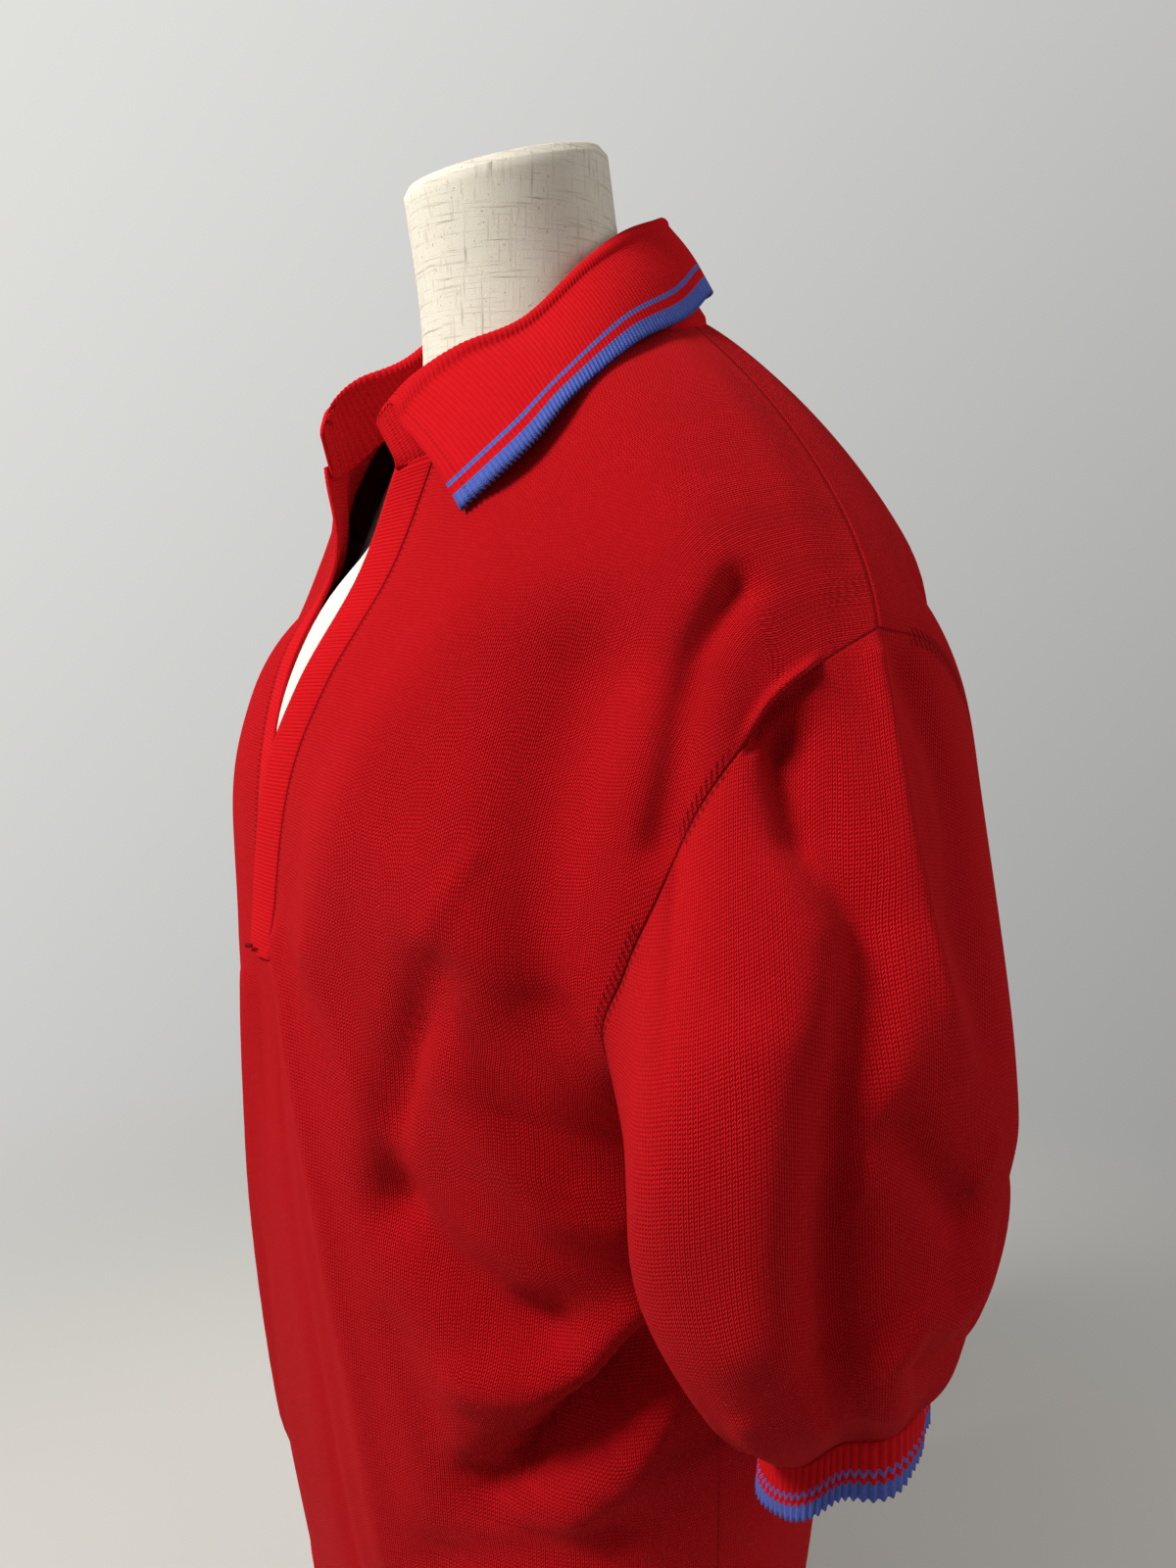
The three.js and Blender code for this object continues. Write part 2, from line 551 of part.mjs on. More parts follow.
// The whole collar from its right front end round the back of the neck to its left front end.
function collar() {
  const last = COLLAR_SECTIONS.length - 1;
  const turned = ({ base, fold, edge, roll }, row) => {
    const [right, ...others] = [RIGHT_COLLAR_EDGES[row] ?? edge, base, fold].map(([x, y, z]) => [-x, y, z]);
    return { base: others[0], fold: others[1], edge: right, roll };
  };
  const sections = [...COLLAR_SECTIONS.map(turned).slice(1).reverse(), ...COLLAR_SECTIONS];
  const railOf = (name) => rail(sections.map((row) => row[name]));
  const [base, fold, edge] = ['base', 'fold', 'edge'].map(railOf);
  const sectionAt = (column) => {
    const row = (column / COLLAR_COLUMNS) * last;
    const [below, above] = [sections[Math.floor(row)], sections[Math.ceil(row)]];
    const roll = THREE.MathUtils.lerp(below.roll, above.roll, row % 1);
    const lifted = base(row).setZ(base(row).z + COLLAR_LIFT);
    return collarSection({ base: lifted, fold: fold(row), edge: edge(row), roll });
  };
  const columns = Array.from({ length: COLLAR_COLUMNS * 2 + 1 }, (_, column) => sectionAt(column));
  const made = sheet(columns[0].length, columns.length, (i, j) => columns[j][i], { side: -1 });
  return wall(sheetPatches(made));
}

// The rib round the foot of the body, hanging from the lowest section of front and back.
function hemRib() {
  const [front, back] = [FRONT_SECTIONS, BACK_SECTIONS].map((table) => table[table.length - 1]);
  const curveOf = (section) => {
    const [edge, near, far, side] = [section.edge, section.near, section.far, section.side].map(place);
    return new THREE.CubicBezierCurve3(edge, near, far, side);
  };
  const [frontCurve, backCurve] = [curveOf(front), curveOf(back)];
  const quarter = (curve) => curve.getPoints(HEM_COLUMNS / 2);
  const leftSide = [...quarter(frontCurve), ...quarter(backCurve).reverse().slice(1)];
  const rightSide = leftSide.map((point) => mirrored(point, -1)).reverse();
  const ring = [...leftSide, ...rightSide];
  const drops = [SEAM_GAP, HEM_HEIGHT / 2, HEM_HEIGHT];
  const pointAt = (i, j) => {
    const narrowing = 1 - HEM_NARROWING * i;
    return new THREE.Vector3(ring[j].x * narrowing, ring[j].y * narrowing, ring[j].z - drops[i]);
  };
  const made = sheet(drops.length, ring.length, pointAt, { closed: true, side: 1 });
  return wall(sheetPatches(made));
}

function torso() {
  const rings = TORSO_LEVELS.map(({ z, half, widest, front, back, chest = 0 }) => {
    const ring = [];
    for (let j = 0; j < FORM_SIDES; j += 1) {
      const angle = (j / FORM_SIDES) * Math.PI * 2;
      const ahead = Math.sin(angle) < 0;
      const x = half * Math.cos(angle);
      const bulge = ahead ? chest * Math.exp(-((x / CHEST_WIDTH) ** 2)) : 0;
      const depth = ahead ? front + widest : back - widest;
      ring.push(place([x, widest + depth * Math.sin(angle) - bulge, z]));
    }
    return ring;
  });
  return ringSolid(rings);
}

function neck() {
  const rings = NECK_LEVELS.map(({ centre, half, depth, raise }) => {
    const ring = [];
    for (let j = 0; j < FORM_SIDES; j += 1) {
      const angle = (j / FORM_SIDES) * Math.PI * 2;
      const [x, y] = [half * Math.cos(angle), depth * Math.sin(angle)];
      ring.push(place([centre[0] + x, centre[1] + y, centre[2] + (raise * y) / depth]));
    }
    return ring;
  });
  return ringSolid(rings);
}

function pole() {
  const height = SHOULDER_Z + TORSO_BOTTOM - BASE_THICKNESS - 2 * FORM_GAP;
  const made = new THREE.CylinderGeometry(POLE_RADIUS, POLE_RADIUS, height, POLE_SIDES);
  made.rotateX(Math.PI / 2);
  made.translate(0, 0, BASE_THICKNESS + FORM_GAP + height / 2);
  return made;
}

function base() {
  const profile = [
    [0, 0], [BASE_RADIUS, 0], [BASE_RADIUS, BASE_THICKNESS - BASE_ROUNDING],
    [BASE_RADIUS - BASE_ROUNDING, BASE_THICKNESS], [0, BASE_THICKNESS],
  ];
  const made = new THREE.LatheGeometry(profile.map(([r, z]) => new THREE.Vector2(r, z)), BASE_SIDES);
  made.rotateX(Math.PI / 2);
  return made;
}

const group = new THREE.Group();
function add(name, shape, look) {
  const mesh = new THREE.Mesh(shape, material(look));
  mesh.name = name;
  group.add(mesh);
}

const FRONT_CORNERS = [PLACKET_TOP, PLACKET_FOOT];
const fronts = { face: 1, corners: FRONT_CORNERS };
const backs = { face: -1, corners: [BACK_NECK] };
const frontLeft = halfPanel(FRONT_SECTIONS, { ...fronts, hand: 1, folds: FRONT_LEFT_FOLDS });
const frontRight = halfPanel(FRONT_SECTIONS, { ...fronts, hand: -1, folds: FRONT_RIGHT_FOLDS });
const backLeft = halfPanel(BACK_SECTIONS, { ...backs, hand: 1, folds: BACK_LEFT_FOLDS });
const backRight = halfPanel(BACK_SECTIONS, { ...backs, hand: -1, folds: BACK_RIGHT_FOLDS });

// The armhole's knots, down the front from the shoulder seam to the underarm and up the back,
// each with its angle round the sleeve from the outer side, in step with the length of the seam.
function armholeOf(front, back) {
  const down = sideKnots(front, 0, UNDERARM);
  const up = sideKnots(back, 0, UNDERARM).reverse();
  const angled = (knots, from) => {
    const lengths = [0];
    for (let k = 1; k < knots.length; k += 1) {
      lengths.push(lengths[k - 1] + knots[k].point.distanceTo(knots[k - 1].point));
    }
    const whole = lengths[knots.length - 1];
    return knots.map((knot, k) => ({ knot, angle: from + (Math.PI * lengths[k]) / whole }));
  };
  return [...angled(down, 0), ...angled(up, Math.PI).slice(1, -1)];
}

const sides = [
  { name: 'left', hand: 1, front: frontLeft, back: backLeft, folds: LEFT_SLEEVE_FOLDS },
  { name: 'right', hand: -1, front: frontRight, back: backRight, folds: RIGHT_SLEEVE_FOLDS },
];
for (const sideParts of sides) {
  const { hand, front, back, folds } = sideParts;
  const armhole = armholeOf(front, back);
  sideParts.sleeve = sleeve(armhole, hand, folds);
  const body = { grid: [...front.grid, ...back.grid] };
  seam(armhole.map(({ knot }) => knot), sideParts.sleeve.grid[0], body, sideParts.sleeve, true);
  for (const row of [0, UNDERARM]) {
    const [from, to] = [sideKnots(front, row, row)[0], sideKnots(back, row, row)[0]];
    for (const part of ['point', 'normal', 'shift']) to[part].copy(from[part]);
  }
  seam(front.grid[0], back.grid[0], front, back);
  seam(sideKnots(front, UNDERARM, Infinity), sideKnots(back, UNDERARM, Infinity), front, back);
}
const leftBand = band(frontLeft, LEFT_BAND_EDGE, 1);
const rightBand = band(frontRight, RIGHT_BAND_EDGE, -1);

const frontPatches = [
  ...sheetPatches(frontLeft),
  ...sheetPatches(frontRight),
  ...bridgePatches(frontLeft, frontRight, PLACKET_FOOT, 1),
];
const backPatches = [
  ...sheetPatches(backLeft),
  ...sheetPatches(backRight),
  ...bridgePatches(backLeft, backRight, BACK_NECK, -1),
];
add('front', wall(frontPatches), RED_KNIT);
add('back', wall(backPatches), RED_KNIT);
for (const { name, hand, sleeve: made } of sides) {
  add(`sleeve_${name}`, wall(sheetPatches(made)), RED_KNIT);
  add(`cuff_${name}`, cuff(hand), BLUE_EDGED_RIB);
}
add('band_left', wall(sheetPatches(leftBand)), RED_RIB);
add('band_right', wall(sheetPatches(rightBand)), RED_RIB);
add('collar', collar(), BLUE_EDGED_RIB);
add('hem_rib', hemRib(), RED_RIB);
add('form_torso', torso(), CANVAS);
add('form_neck', neck(), LINEN);
add('stand_pole', pole(), PAINTED_STEEL);
add('stand_base', base(), PAINTED_STEEL);

export default group;
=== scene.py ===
# %% [markdown]
# # A knitted polo shirt on a dress form
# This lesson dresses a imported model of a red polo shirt, open at the neck, on a limbless dress form.
# Each piece is rebuilt here as a fine mesh in the place of its plain solid, so that folds, ribs and
# tipped edges are real shapes, and only the stitches themselves are left to the materials.

# %% Load the frame
import json
import math

import bpy
import numpy as np
from mathutils import Matrix, Vector

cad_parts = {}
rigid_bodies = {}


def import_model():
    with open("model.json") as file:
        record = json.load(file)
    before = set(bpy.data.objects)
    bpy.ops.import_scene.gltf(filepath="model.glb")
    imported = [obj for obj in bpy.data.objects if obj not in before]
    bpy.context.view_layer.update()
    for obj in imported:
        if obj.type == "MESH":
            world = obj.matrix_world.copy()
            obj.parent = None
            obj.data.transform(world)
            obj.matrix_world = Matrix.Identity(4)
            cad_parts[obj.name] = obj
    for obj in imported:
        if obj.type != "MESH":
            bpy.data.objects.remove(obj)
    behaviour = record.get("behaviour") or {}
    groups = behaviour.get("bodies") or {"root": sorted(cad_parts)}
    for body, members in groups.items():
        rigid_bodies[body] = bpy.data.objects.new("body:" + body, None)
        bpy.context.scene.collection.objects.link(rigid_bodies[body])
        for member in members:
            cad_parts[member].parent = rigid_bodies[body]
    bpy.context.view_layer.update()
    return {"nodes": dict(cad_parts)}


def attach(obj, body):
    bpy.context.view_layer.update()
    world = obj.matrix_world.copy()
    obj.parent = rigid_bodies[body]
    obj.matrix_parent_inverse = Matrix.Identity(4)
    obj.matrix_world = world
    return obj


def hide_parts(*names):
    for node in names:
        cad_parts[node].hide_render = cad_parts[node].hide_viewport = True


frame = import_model()
MM = 0.001
SHOULDER_HEIGHT = 830.0
print("nodes to dress:", len(frame["nodes"]))

# %% [markdown]
# ## Camera
# The shirt is seen from its left front, a little from above. The lens is wide and close, so a camera
# further off with a longer lens would not give the same swelling of the near sleeve. Place and
# angles are plain numbers, and the rotation is put together from the three directions of the camera.

# %% Camera
CAMERA_PLACE = Vector((0.569, -0.304, 0.734))
CAMERA_AZIMUTH = math.radians(60)
CAMERA_PITCH = math.radians(10)
CAMERA_ROLL = math.radians(0.4)
LENS_MM = 29.25

back_way = Vector((math.sin(CAMERA_AZIMUTH) * math.cos(CAMERA_PITCH),
                   -math.cos(CAMERA_AZIMUTH) * math.cos(CAMERA_PITCH),
                   math.sin(CAMERA_PITCH)))
level_right = Vector((math.cos(CAMERA_AZIMUTH), math.sin(CAMERA_AZIMUTH), 0))
level_up = back_way.cross(level_right)
right_way = math.cos(CAMERA_ROLL) * level_right + math.sin(CAMERA_ROLL) * level_up
up_way = back_way.cross(right_way)

camera_data = bpy.data.cameras.new("camera")
camera_data.sensor_width = 36
camera_data.lens = LENS_MM
camera_data.clip_start = 0.02
camera = bpy.data.objects.new("camera", camera_data)
bpy.context.scene.collection.objects.link(camera)
turn = Matrix((right_way, up_way, back_way)).transposed().to_4x4()
camera.matrix_world = Matrix.Translation(CAMERA_PLACE) @ turn
bpy.context.scene.camera = camera
print("camera at", tuple(round(value, 3) for value in CAMERA_PLACE))

# %% [markdown]
# ## Smooth lines through a few points
# A cut piece is described by a short table of sections. A line through one column of the table is a
# rail, and it is broken where the cloth has a corner, such as the foot of the opening. Curve objects
# could do this too, but plain arrays let one function shape every panel at once.

# %% Rails
def smooth_line(points, at):
    points = np.asarray(points, float)
    padded = np.vstack([2 * points[0] - points[1], points, 2 * points[-1] - points[-2]])
    start = np.clip(np.floor(at).astype(int), 0, len(points) - 2)
    t = (at - start)[:, None]
    before, here, there, after = (padded[start + step] for step in range(4))
    slope_here = 0.5 * (there - before)
    slope_there = 0.5 * (after - here)
    square = (3 * (there - here) - 2 * slope_here - slope_there) * t ** 2
    cube = (2 * (here - there) + slope_here + slope_there) * t ** 3
    return here + slope_here * t + square + cube


def rail(points, at, corners=()):
    stops = [0, *corners, len(points) - 1]
    line = np.empty((len(at), len(points[0])))
    for start, end in zip(stops, stops[1:]):
        inside = (at >= start) & (at <= end)
        line[inside] = smooth_line(points[start:end + 1], at[inside] - start)
    return line


# %% [markdown]
# ## Folds
# A fold is a line of points on the cloth with a half width at its two ends and a depth: a trough is
# minus, a ridge is plus. Every point of the cloth moves along its normal by what the folds near it
# ask for. Simulated cloth would fall into folds of its own, but here they have to lie where the worn
# shirt has them, so they are given one by one, uneven in length, depth and spacing.

# %% Normals and folds
TINY = 1e-9
NORMAL_SHARE = 0.9


def grid_normals(grid, side, closed=False):
    if closed:
        across = np.roll(grid, -1, axis=1) - np.roll(grid, 1, axis=1)
    else:
        across = np.gradient(grid, axis=1)
    down = np.gradient(grid, axis=0)
    normals = np.cross(down, across) * side
    return normals / np.maximum(np.linalg.norm(normals, axis=2, keepdims=True), TINY)


def fold_heights(grid, normals, folds):
    """distances count mostly along the cloth, so a line need not lie exactly on it"""
    heights = np.zeros(grid.shape[:2])
    for line, width, depth in folds:
        line = np.asarray(line, float)
        nearest = np.full(grid.shape[:2], np.inf)
        along = np.zeros(grid.shape[:2])
        for number, (start, end) in enumerate(zip(line, line[1:])):
            span = end - start
            t = np.clip(((grid - start) @ span) / (span @ span), 0, 1)
            offset = grid - (start + t[..., None] * span)
            lift = np.sum(offset * normals, axis=2)
            square = np.sum(offset * offset, axis=2) - NORMAL_SHARE * lift * lift
            distance = np.sqrt(np.maximum(square, 0))
            closer = distance < nearest
            nearest[closer] = distance[closer]
            along[closer] = ((number + t) / (len(line) - 1))[closer]
        reach = width[0] + (width[1] - width[0]) * along
        heights += depth * np.exp(-((nearest / reach) ** 2))
    return heights


def folded(grid, side, folds, closed=False):
    normals = grid_normals(grid, side, closed)
    return grid + normals * fold_heights(grid, normals, folds)[..., None]


def lengths_along(grid, axis):
    steps = np.linalg.norm(np.diff(grid, axis=axis), axis=2)
    gaps = np.cumsum(steps, axis=axis)
    start = np.zeros_like(np.take(gaps, [0], axis=axis))
    return np.concatenate([start, gaps], axis=axis)


def line_lengths(line):
    steps = np.linalg.norm(np.diff(line, axis=0), axis=1)
    return np.concatenate([[0], np.cumsum(steps)])


def ring_lengths(ring):
    """lengths from the first point round the ring and back to it"""
    steps = np.linalg.norm(np.roll(ring, -1, axis=0) - ring, axis=1)
    return np.concatenate([[0], np.cumsum(steps)])


def softly(share):
    return share * share * (3 - 2 * share)


# %% [markdown]
# ## From sheets to walls of cloth
# Each piece is a wall with an outer and an inner face and a rim round its edges, because an open
# sheet has no thickness at the neck and the cuffs, where the eye looks for it. A Solidify modifier
# would do that too. Building the faces here keeps the numbers that the stitches need on both faces.

# %% A wall from grids
CLOTH_THICKNESS = 1.9
INNER_RIB_SHARE = 0.5


class Wall:
    def __init__(self):
        self.points = []
        self.facts = []
        self.quads = []
        self.count = 0

    def store(self, grid, facts):
        rows, columns = grid.shape[:2]
        numbers = self.count + np.arange(rows * columns).reshape(rows, columns)
        self.count += rows * columns
        self.points.append(grid.reshape(-1, 3))
        self.facts.append({name: np.broadcast_to(value, (rows, columns)).ravel()
                           for name, value in facts.items()})
        return numbers

    def add(self, grid, side, facts, closed=False):
        numbers = self.store(grid, facts)
        if closed:
            self.join(np.hstack([numbers, numbers[:, :1]]), side)
        else:
            self.join(numbers, side)
        return numbers

    def join(self, numbers, side):
        a, b = numbers[:-1, :-1], numbers[1:, :-1]
        c, d = numbers[1:, 1:], numbers[:-1, 1:]
        quads = np.stack([a, b, c, d], axis=-1).reshape(-1, 4)
        self.quads.append(quads if side > 0 else quads[:, ::-1])

    def finish(self, name, material, ribs=None):
        points = np.vstack(self.points)
        quads = np.vstack(self.quads)
        normals = np.zeros_like(points)
        corners = points[quads]
        face_normals = np.cross(corners[:, 2] - corners[:, 0], corners[:, 3] - corners[:, 1])
        for corner in range(4):
            np.add.at(normals, quads[:, corner], face_normals)
        normals /= np.maximum(np.linalg.norm(normals, axis=1, keepdims=True), TINY)
        facts = {key: np.concatenate([part[key] for part in self.facts]) for key in self.facts[0]}
        outer = points
        inner = points - normals * CLOTH_THICKNESS
        if ribs is not None:
            height = facts["rib"] * ribs
            outer = points + normals * height[:, None]
            inner = inner + normals * (height * INNER_RIB_SHARE)[:, None]
        edges = np.concatenate([quads[:, [k, (k + 1) % 4]] for k in range(4)])
        forward = {(int(a), int(b)) for a, b in edges}
        rims = [(b, a) for a, b in forward if (b, a) not in forward]
        total = len(points)
        rim_quads = [(a, b, b + total, a + total) for a, b in rims]
        faces = quads.tolist() + (quads[:, ::-1] + total).tolist() + rim_quads
        world = (np.vstack([outer, inner]) + [0, 0, SHOULDER_HEIGHT]) * MM
        both_faces = {key: np.tile(value, 2) for key, value in facts.items()}
        return new_object(name, world, faces, both_faces, material)


def new_object(name, vertices, faces, facts, material):
    mesh = bpy.data.meshes.new(name)
    mesh.from_pydata(vertices.tolist(), [], faces)
    for key, values in facts.items():
        layer = mesh.attributes.new(key, "FLOAT", "POINT")
        layer.data.foreach_set("value", np.asarray(values, np.float32))
    mesh.polygons.foreach_set("use_smooth", np.ones(len(mesh.polygons), bool))
    mesh.materials.append(material)
    mesh.update()
    made = bpy.data.objects.new(name, mesh)
    bpy.context.scene.collection.objects.link(made)
    print(name, "faces:", len(faces))
    return made


# %% [markdown]
# ## Node helpers
# Materials are put together from small steps. These helpers only save typing: they add a node, feed
# its sockets, do a sum, read a named number of the mesh, blend softly, and make and place groups.

# %% Node helpers
class Nodes:
    def __init__(self, tree):
        self.tree = tree

    def add(self, kind, **settings):
        node = self.tree.nodes.new(kind)
        for key, value in settings.items():
            setattr(node, key, value)
        return node

    def feed(self, socket, value):
        if isinstance(value, bpy.types.NodeSocket):
            self.tree.links.new(value, socket)
        else:
            socket.default_value = value

    def sum(self, operation, *values):
        node = self.add("ShaderNodeMath", operation=operation)
        for socket, value in zip(node.inputs, values):
            self.feed(socket, value)
        return node.outputs[0]

    def soft_step(self, value, low, high):
        node = self.add("ShaderNodeMapRange", interpolation_type="SMOOTHSTEP")
        self.feed(node.inputs["Value"], value)
        self.feed(node.inputs["From Min"], low)
        self.feed(node.inputs["From Max"], high)
        return node.outputs["Result"]

    def fact(self, name):
        return self.add("ShaderNodeAttribute", attribute_name=name).outputs["Fac"]

    def noise(self, vector, scale, detail=2.0, roughness=0.5):
        node = self.add("ShaderNodeTexNoise")
        self.feed(node.inputs["Vector"], vector)
        self.feed(node.inputs["Scale"], scale)
        self.feed(node.inputs["Detail"], detail)
        self.feed(node.inputs["Roughness"], roughness)
        return node.outputs["Fac"]

    def mix_colour(self, amount, first, second):
        node = self.add("ShaderNodeMix", data_type="RGBA")
        self.feed(node.inputs[0], amount)
        self.feed(node.inputs[6], first)
        self.feed(node.inputs[7], second)
        return node.outputs[2]

    def mapped(self, vector, scale):
        node = self.add("ShaderNodeMapping")
        self.feed(node.inputs["Vector"], vector)
        node.inputs["Scale"].default_value = scale
        return node.outputs["Vector"]


def new_group(name, inputs, outputs):
    tree = bpy.data.node_groups.new(name, "ShaderNodeTree")
    for label, kind, default in inputs:
        socket = tree.interface.new_socket(name=label, in_out="INPUT", socket_type=kind)
        socket.default_value = default
    for label, kind in outputs:
        tree.interface.new_socket(name=label, in_out="OUTPUT", socket_type=kind)
    nodes = Nodes(tree)
    start = nodes.add("NodeGroupInput")
    end = nodes.add("NodeGroupOutput")
    return tree, nodes, start, end


def place_group(nodes, tree, **values):
    node = nodes.add("ShaderNodeGroup")
    node.node_tree = tree
    for label, value in values.items():
        nodes.feed(node.inputs[label.replace("_", " ")], value)
    return node


# %% [markdown]
# ## Stitches
# A plain knitted face is made of columns of small V shapes, the wales. Each V has two legs that lean
# towards each other. One group draws them from two lengths that every cloth mesh carries: how far a
# point lies across the wales and how far it lies along them, both in millimetres of cloth. Besides
# the height of the legs it gives a mask of the hollows between them, where the materials paint shade.

# %% Stitch group
FLOAT = "NodeSocketFloat"
COLOUR = "NodeSocketColor"
WANDER_SCALE = 260.0
LEG_LEAN = 1.1
LEG_ROUNDNESS = 0.6
LOOP_SWING = 0.32
LOOP_BASE = 0.68

stitch_group, nodes, start, end = new_group(
    "knitted stitches",
    [("Across", FLOAT, 0.0), ("Along", FLOAT, 0.0), ("Wale", FLOAT, 2.0), ("Course", FLOAT, 1.6),
     ("Unevenness", FLOAT, 0.3)],
    [("Height", FLOAT), ("Gap", FLOAT)])
position = nodes.add("ShaderNodeTexCoord").outputs["Object"]
wander = nodes.sum("SUBTRACT", nodes.noise(position, WANDER_SCALE), 0.5)
across = nodes.sum("DIVIDE", start.outputs["Across"], start.outputs["Wale"])
across = nodes.sum("ADD", across, nodes.sum("MULTIPLY", wander, start.outputs["Unevenness"]))
in_wale = nodes.sum("ABSOLUTE", nodes.sum("SUBTRACT", nodes.sum("FRACT", across), 0.5))
leg = nodes.sum("SINE", nodes.sum("MULTIPLY", in_wale, 2 * math.pi))
along = nodes.sum("DIVIDE", start.outputs["Along"], start.outputs["Course"])
slanted = nodes.sum("ADD", along, nodes.sum("MULTIPLY", in_wale, LEG_LEAN))
loop = nodes.sum("COSINE", nodes.sum("MULTIPLY", slanted, 2 * math.pi))
loop = nodes.sum("ADD", nodes.sum("MULTIPLY", loop, LOOP_SWING), LOOP_BASE)
rounded = nodes.sum("POWER", nodes.sum("MAXIMUM", leg, 0.0), LEG_ROUNDNESS)
height = nodes.sum("MULTIPLY", rounded, loop)
nodes.feed(end.inputs["Height"], height)
# Gap marks the hollows between the legs, where the materials paint shade.
nodes.feed(end.inputs["Gap"], nodes.sum("SUBTRACT", 1.0, nodes.soft_step(height, 0.05, 0.6)))
print("group made:", stitch_group.name)

# %% [markdown]
# ## Uneven dye, fuzz and painted shade
# Cotton yarn takes dye a little unevenly, and a worn surface is paler where fibres stand up. Two
# sizes of noise give a slow drift of colour and a fine mottle. The same group also lays a darker,
# shaded copy of the colour where it is told to: painted shade in the gaps between stitches and ribs
# and in seam grooves and holes. All the knitted materials share it.

# %% Yarn colour group
DRIFT_SCALE = 9.0
DRIFT_SHARE = 0.3
MOTTLE_SCALE = 420.0
MOTTLE_SHARE = 0.7

yarn_and_shade_group, nodes, start, end = new_group(
    "uneven yarn colour and painted shade",
    [("Colour", COLOUR, (0.5, 0.5, 0.5, 1)), ("Pale", COLOUR, (0.7, 0.7, 0.7, 1)),
     ("Deep", COLOUR, (0.3, 0.3, 0.3, 1)), ("Amount", FLOAT, 0.5), ("Gap", FLOAT, 0.0)],
    [("Colour", COLOUR)])
position = nodes.add("ShaderNodeTexCoord").outputs["Object"]
drift = nodes.soft_step(nodes.noise(position, DRIFT_SCALE, 3.0), 0.35, 0.7)
mottle = nodes.soft_step(nodes.noise(position, MOTTLE_SCALE, 2.0, 0.7), 0.4, 0.75)
both = nodes.sum("ADD", nodes.sum("MULTIPLY", drift, DRIFT_SHARE),
                 nodes.sum("MULTIPLY", mottle, MOTTLE_SHARE))
pale_share = nodes.sum("MULTIPLY", both, start.outputs["Amount"])
tinted = nodes.mix_colour(pale_share, start.outputs["Colour"], start.outputs["Pale"])
# Where the Gap input asks for it, the shaded copy replaces the yarn colour: painted shade.
in_shade = nodes.mix_colour(start.outputs["Gap"], tinted, start.outputs["Deep"])
nodes.feed(end.inputs["Colour"], in_shade)
print("group made:", yarn_and_shade_group.name)

# %% [markdown]
# ## Linked seams and fashioning marks
# Knitted pieces are joined loop by loop, which leaves a narrow groove and, beside it, a row of small
# holes. Where stitches were moved inwards to shape the armhole, short slanting marks follow the seam.
# Both effects need only how far a point lies from the seam and how far along it. The group's Dark
# output is painted shade in the groove, the holes and the marks; the jersey also sinks it as relief.

# %% Seam group
seam_group, nodes, start, end = new_group(
    "linked seam",
    [("Distance", FLOAT, 100.0), ("Along", FLOAT, 0.0), ("Pitch", FLOAT, 3.0), ("Row", FLOAT, 2.2),
     ("Hole", FLOAT, 0.6), ("Slant", FLOAT, 0.0), ("Length", FLOAT, 2.0), ("Groove", FLOAT, 0.6)],
    [("Dark", FLOAT)])
distance = start.outputs["Distance"]
groove = nodes.sum("SUBTRACT", 1.0, nodes.soft_step(distance, 0.25, 1.3))
shifted = nodes.sum("ADD", start.outputs["Along"], nodes.sum("MULTIPLY", distance, start.outputs["Slant"]))
step = nodes.sum("DIVIDE", shifted, start.outputs["Pitch"])
from_middle = nodes.sum("SUBTRACT", nodes.sum("FRACT", step), 0.5)
aside = nodes.sum("MULTIPLY", from_middle, start.outputs["Pitch"])
from_row = nodes.sum("SUBTRACT", distance, start.outputs["Row"])
off_row = nodes.sum("DIVIDE", from_row, start.outputs["Length"])
radius = nodes.sum("SQRT", nodes.sum("ADD", nodes.sum("MULTIPLY", aside, aside),
                                     nodes.sum("MULTIPLY", off_row, off_row)))
inside = nodes.sum("DIVIDE", radius, start.outputs["Hole"])
hole = nodes.sum("SUBTRACT", 1.0, nodes.soft_step(inside, 0.7, 1.3))
# Dark is painted shade in the groove, the holes and the slanting marks.
dark = nodes.sum("MAXIMUM", nodes.sum("MULTIPLY", groove, start.outputs["Groove"]), hole)
nodes.feed(end.inputs["Dark"], dark)
print("group made:", seam_group.name)

# %% [markdown]
# ## Red jersey
# The body and sleeves are plain jersey in one red yarn. The material adds the stitches as a small
# bump, paints shade into the gaps between them and into the seam grooves and holes, and gives the nap
# a soft sheen. Sheen and roughness of the whole cloth are set on the shader itself, because only
# colour and relief change over it.

# %% Jersey material
RED = (0.55, 0.0045, 0.0085, 1)
PALE_RED = (0.68, 0.010, 0.016, 1)
# A shaded copy of the red, painted as shade into stitch gaps, seam grooves and holes.
SHADED_RED = (0.17, 0.001, 0.002, 1)
RED_NAP = (0.9, 0.06, 0.07, 1)
WALE_MM = 1.9
COURSE_MM = 1.55
JERSEY_GAP_SHARE = 0.7
JERSEY_RELIEF_M = 0.0009
SEAM_RELIEF = -1.6


def new_material(name, roughness, sheen, specular=0.25, sheen_tint=(1, 1, 1, 1)):
    material = bpy.data.materials.new(name)
    material.use_nodes = True
    nodes = Nodes(material.node_tree)
    shader = material.node_tree.nodes["Principled BSDF"]
    shader.inputs["Roughness"].default_value = roughness
    shader.inputs["Specular IOR Level"].default_value = specular
    shader.inputs["Sheen Weight"].default_value = sheen
    shader.inputs["Sheen Roughness"].default_value = 0.45
    shader.inputs["Sheen Tint"].default_value = sheen_tint
    return material, nodes, shader


def bumped(nodes, shader, height, distance_m, strength):
    bump = nodes.add("ShaderNodeBump")
    bump.inputs["Strength"].default_value = strength
    bump.inputs["Distance"].default_value = distance_m
    nodes.feed(bump.inputs["Height"], height)
    nodes.feed(shader.inputs["Normal"], bump.outputs["Normal"])


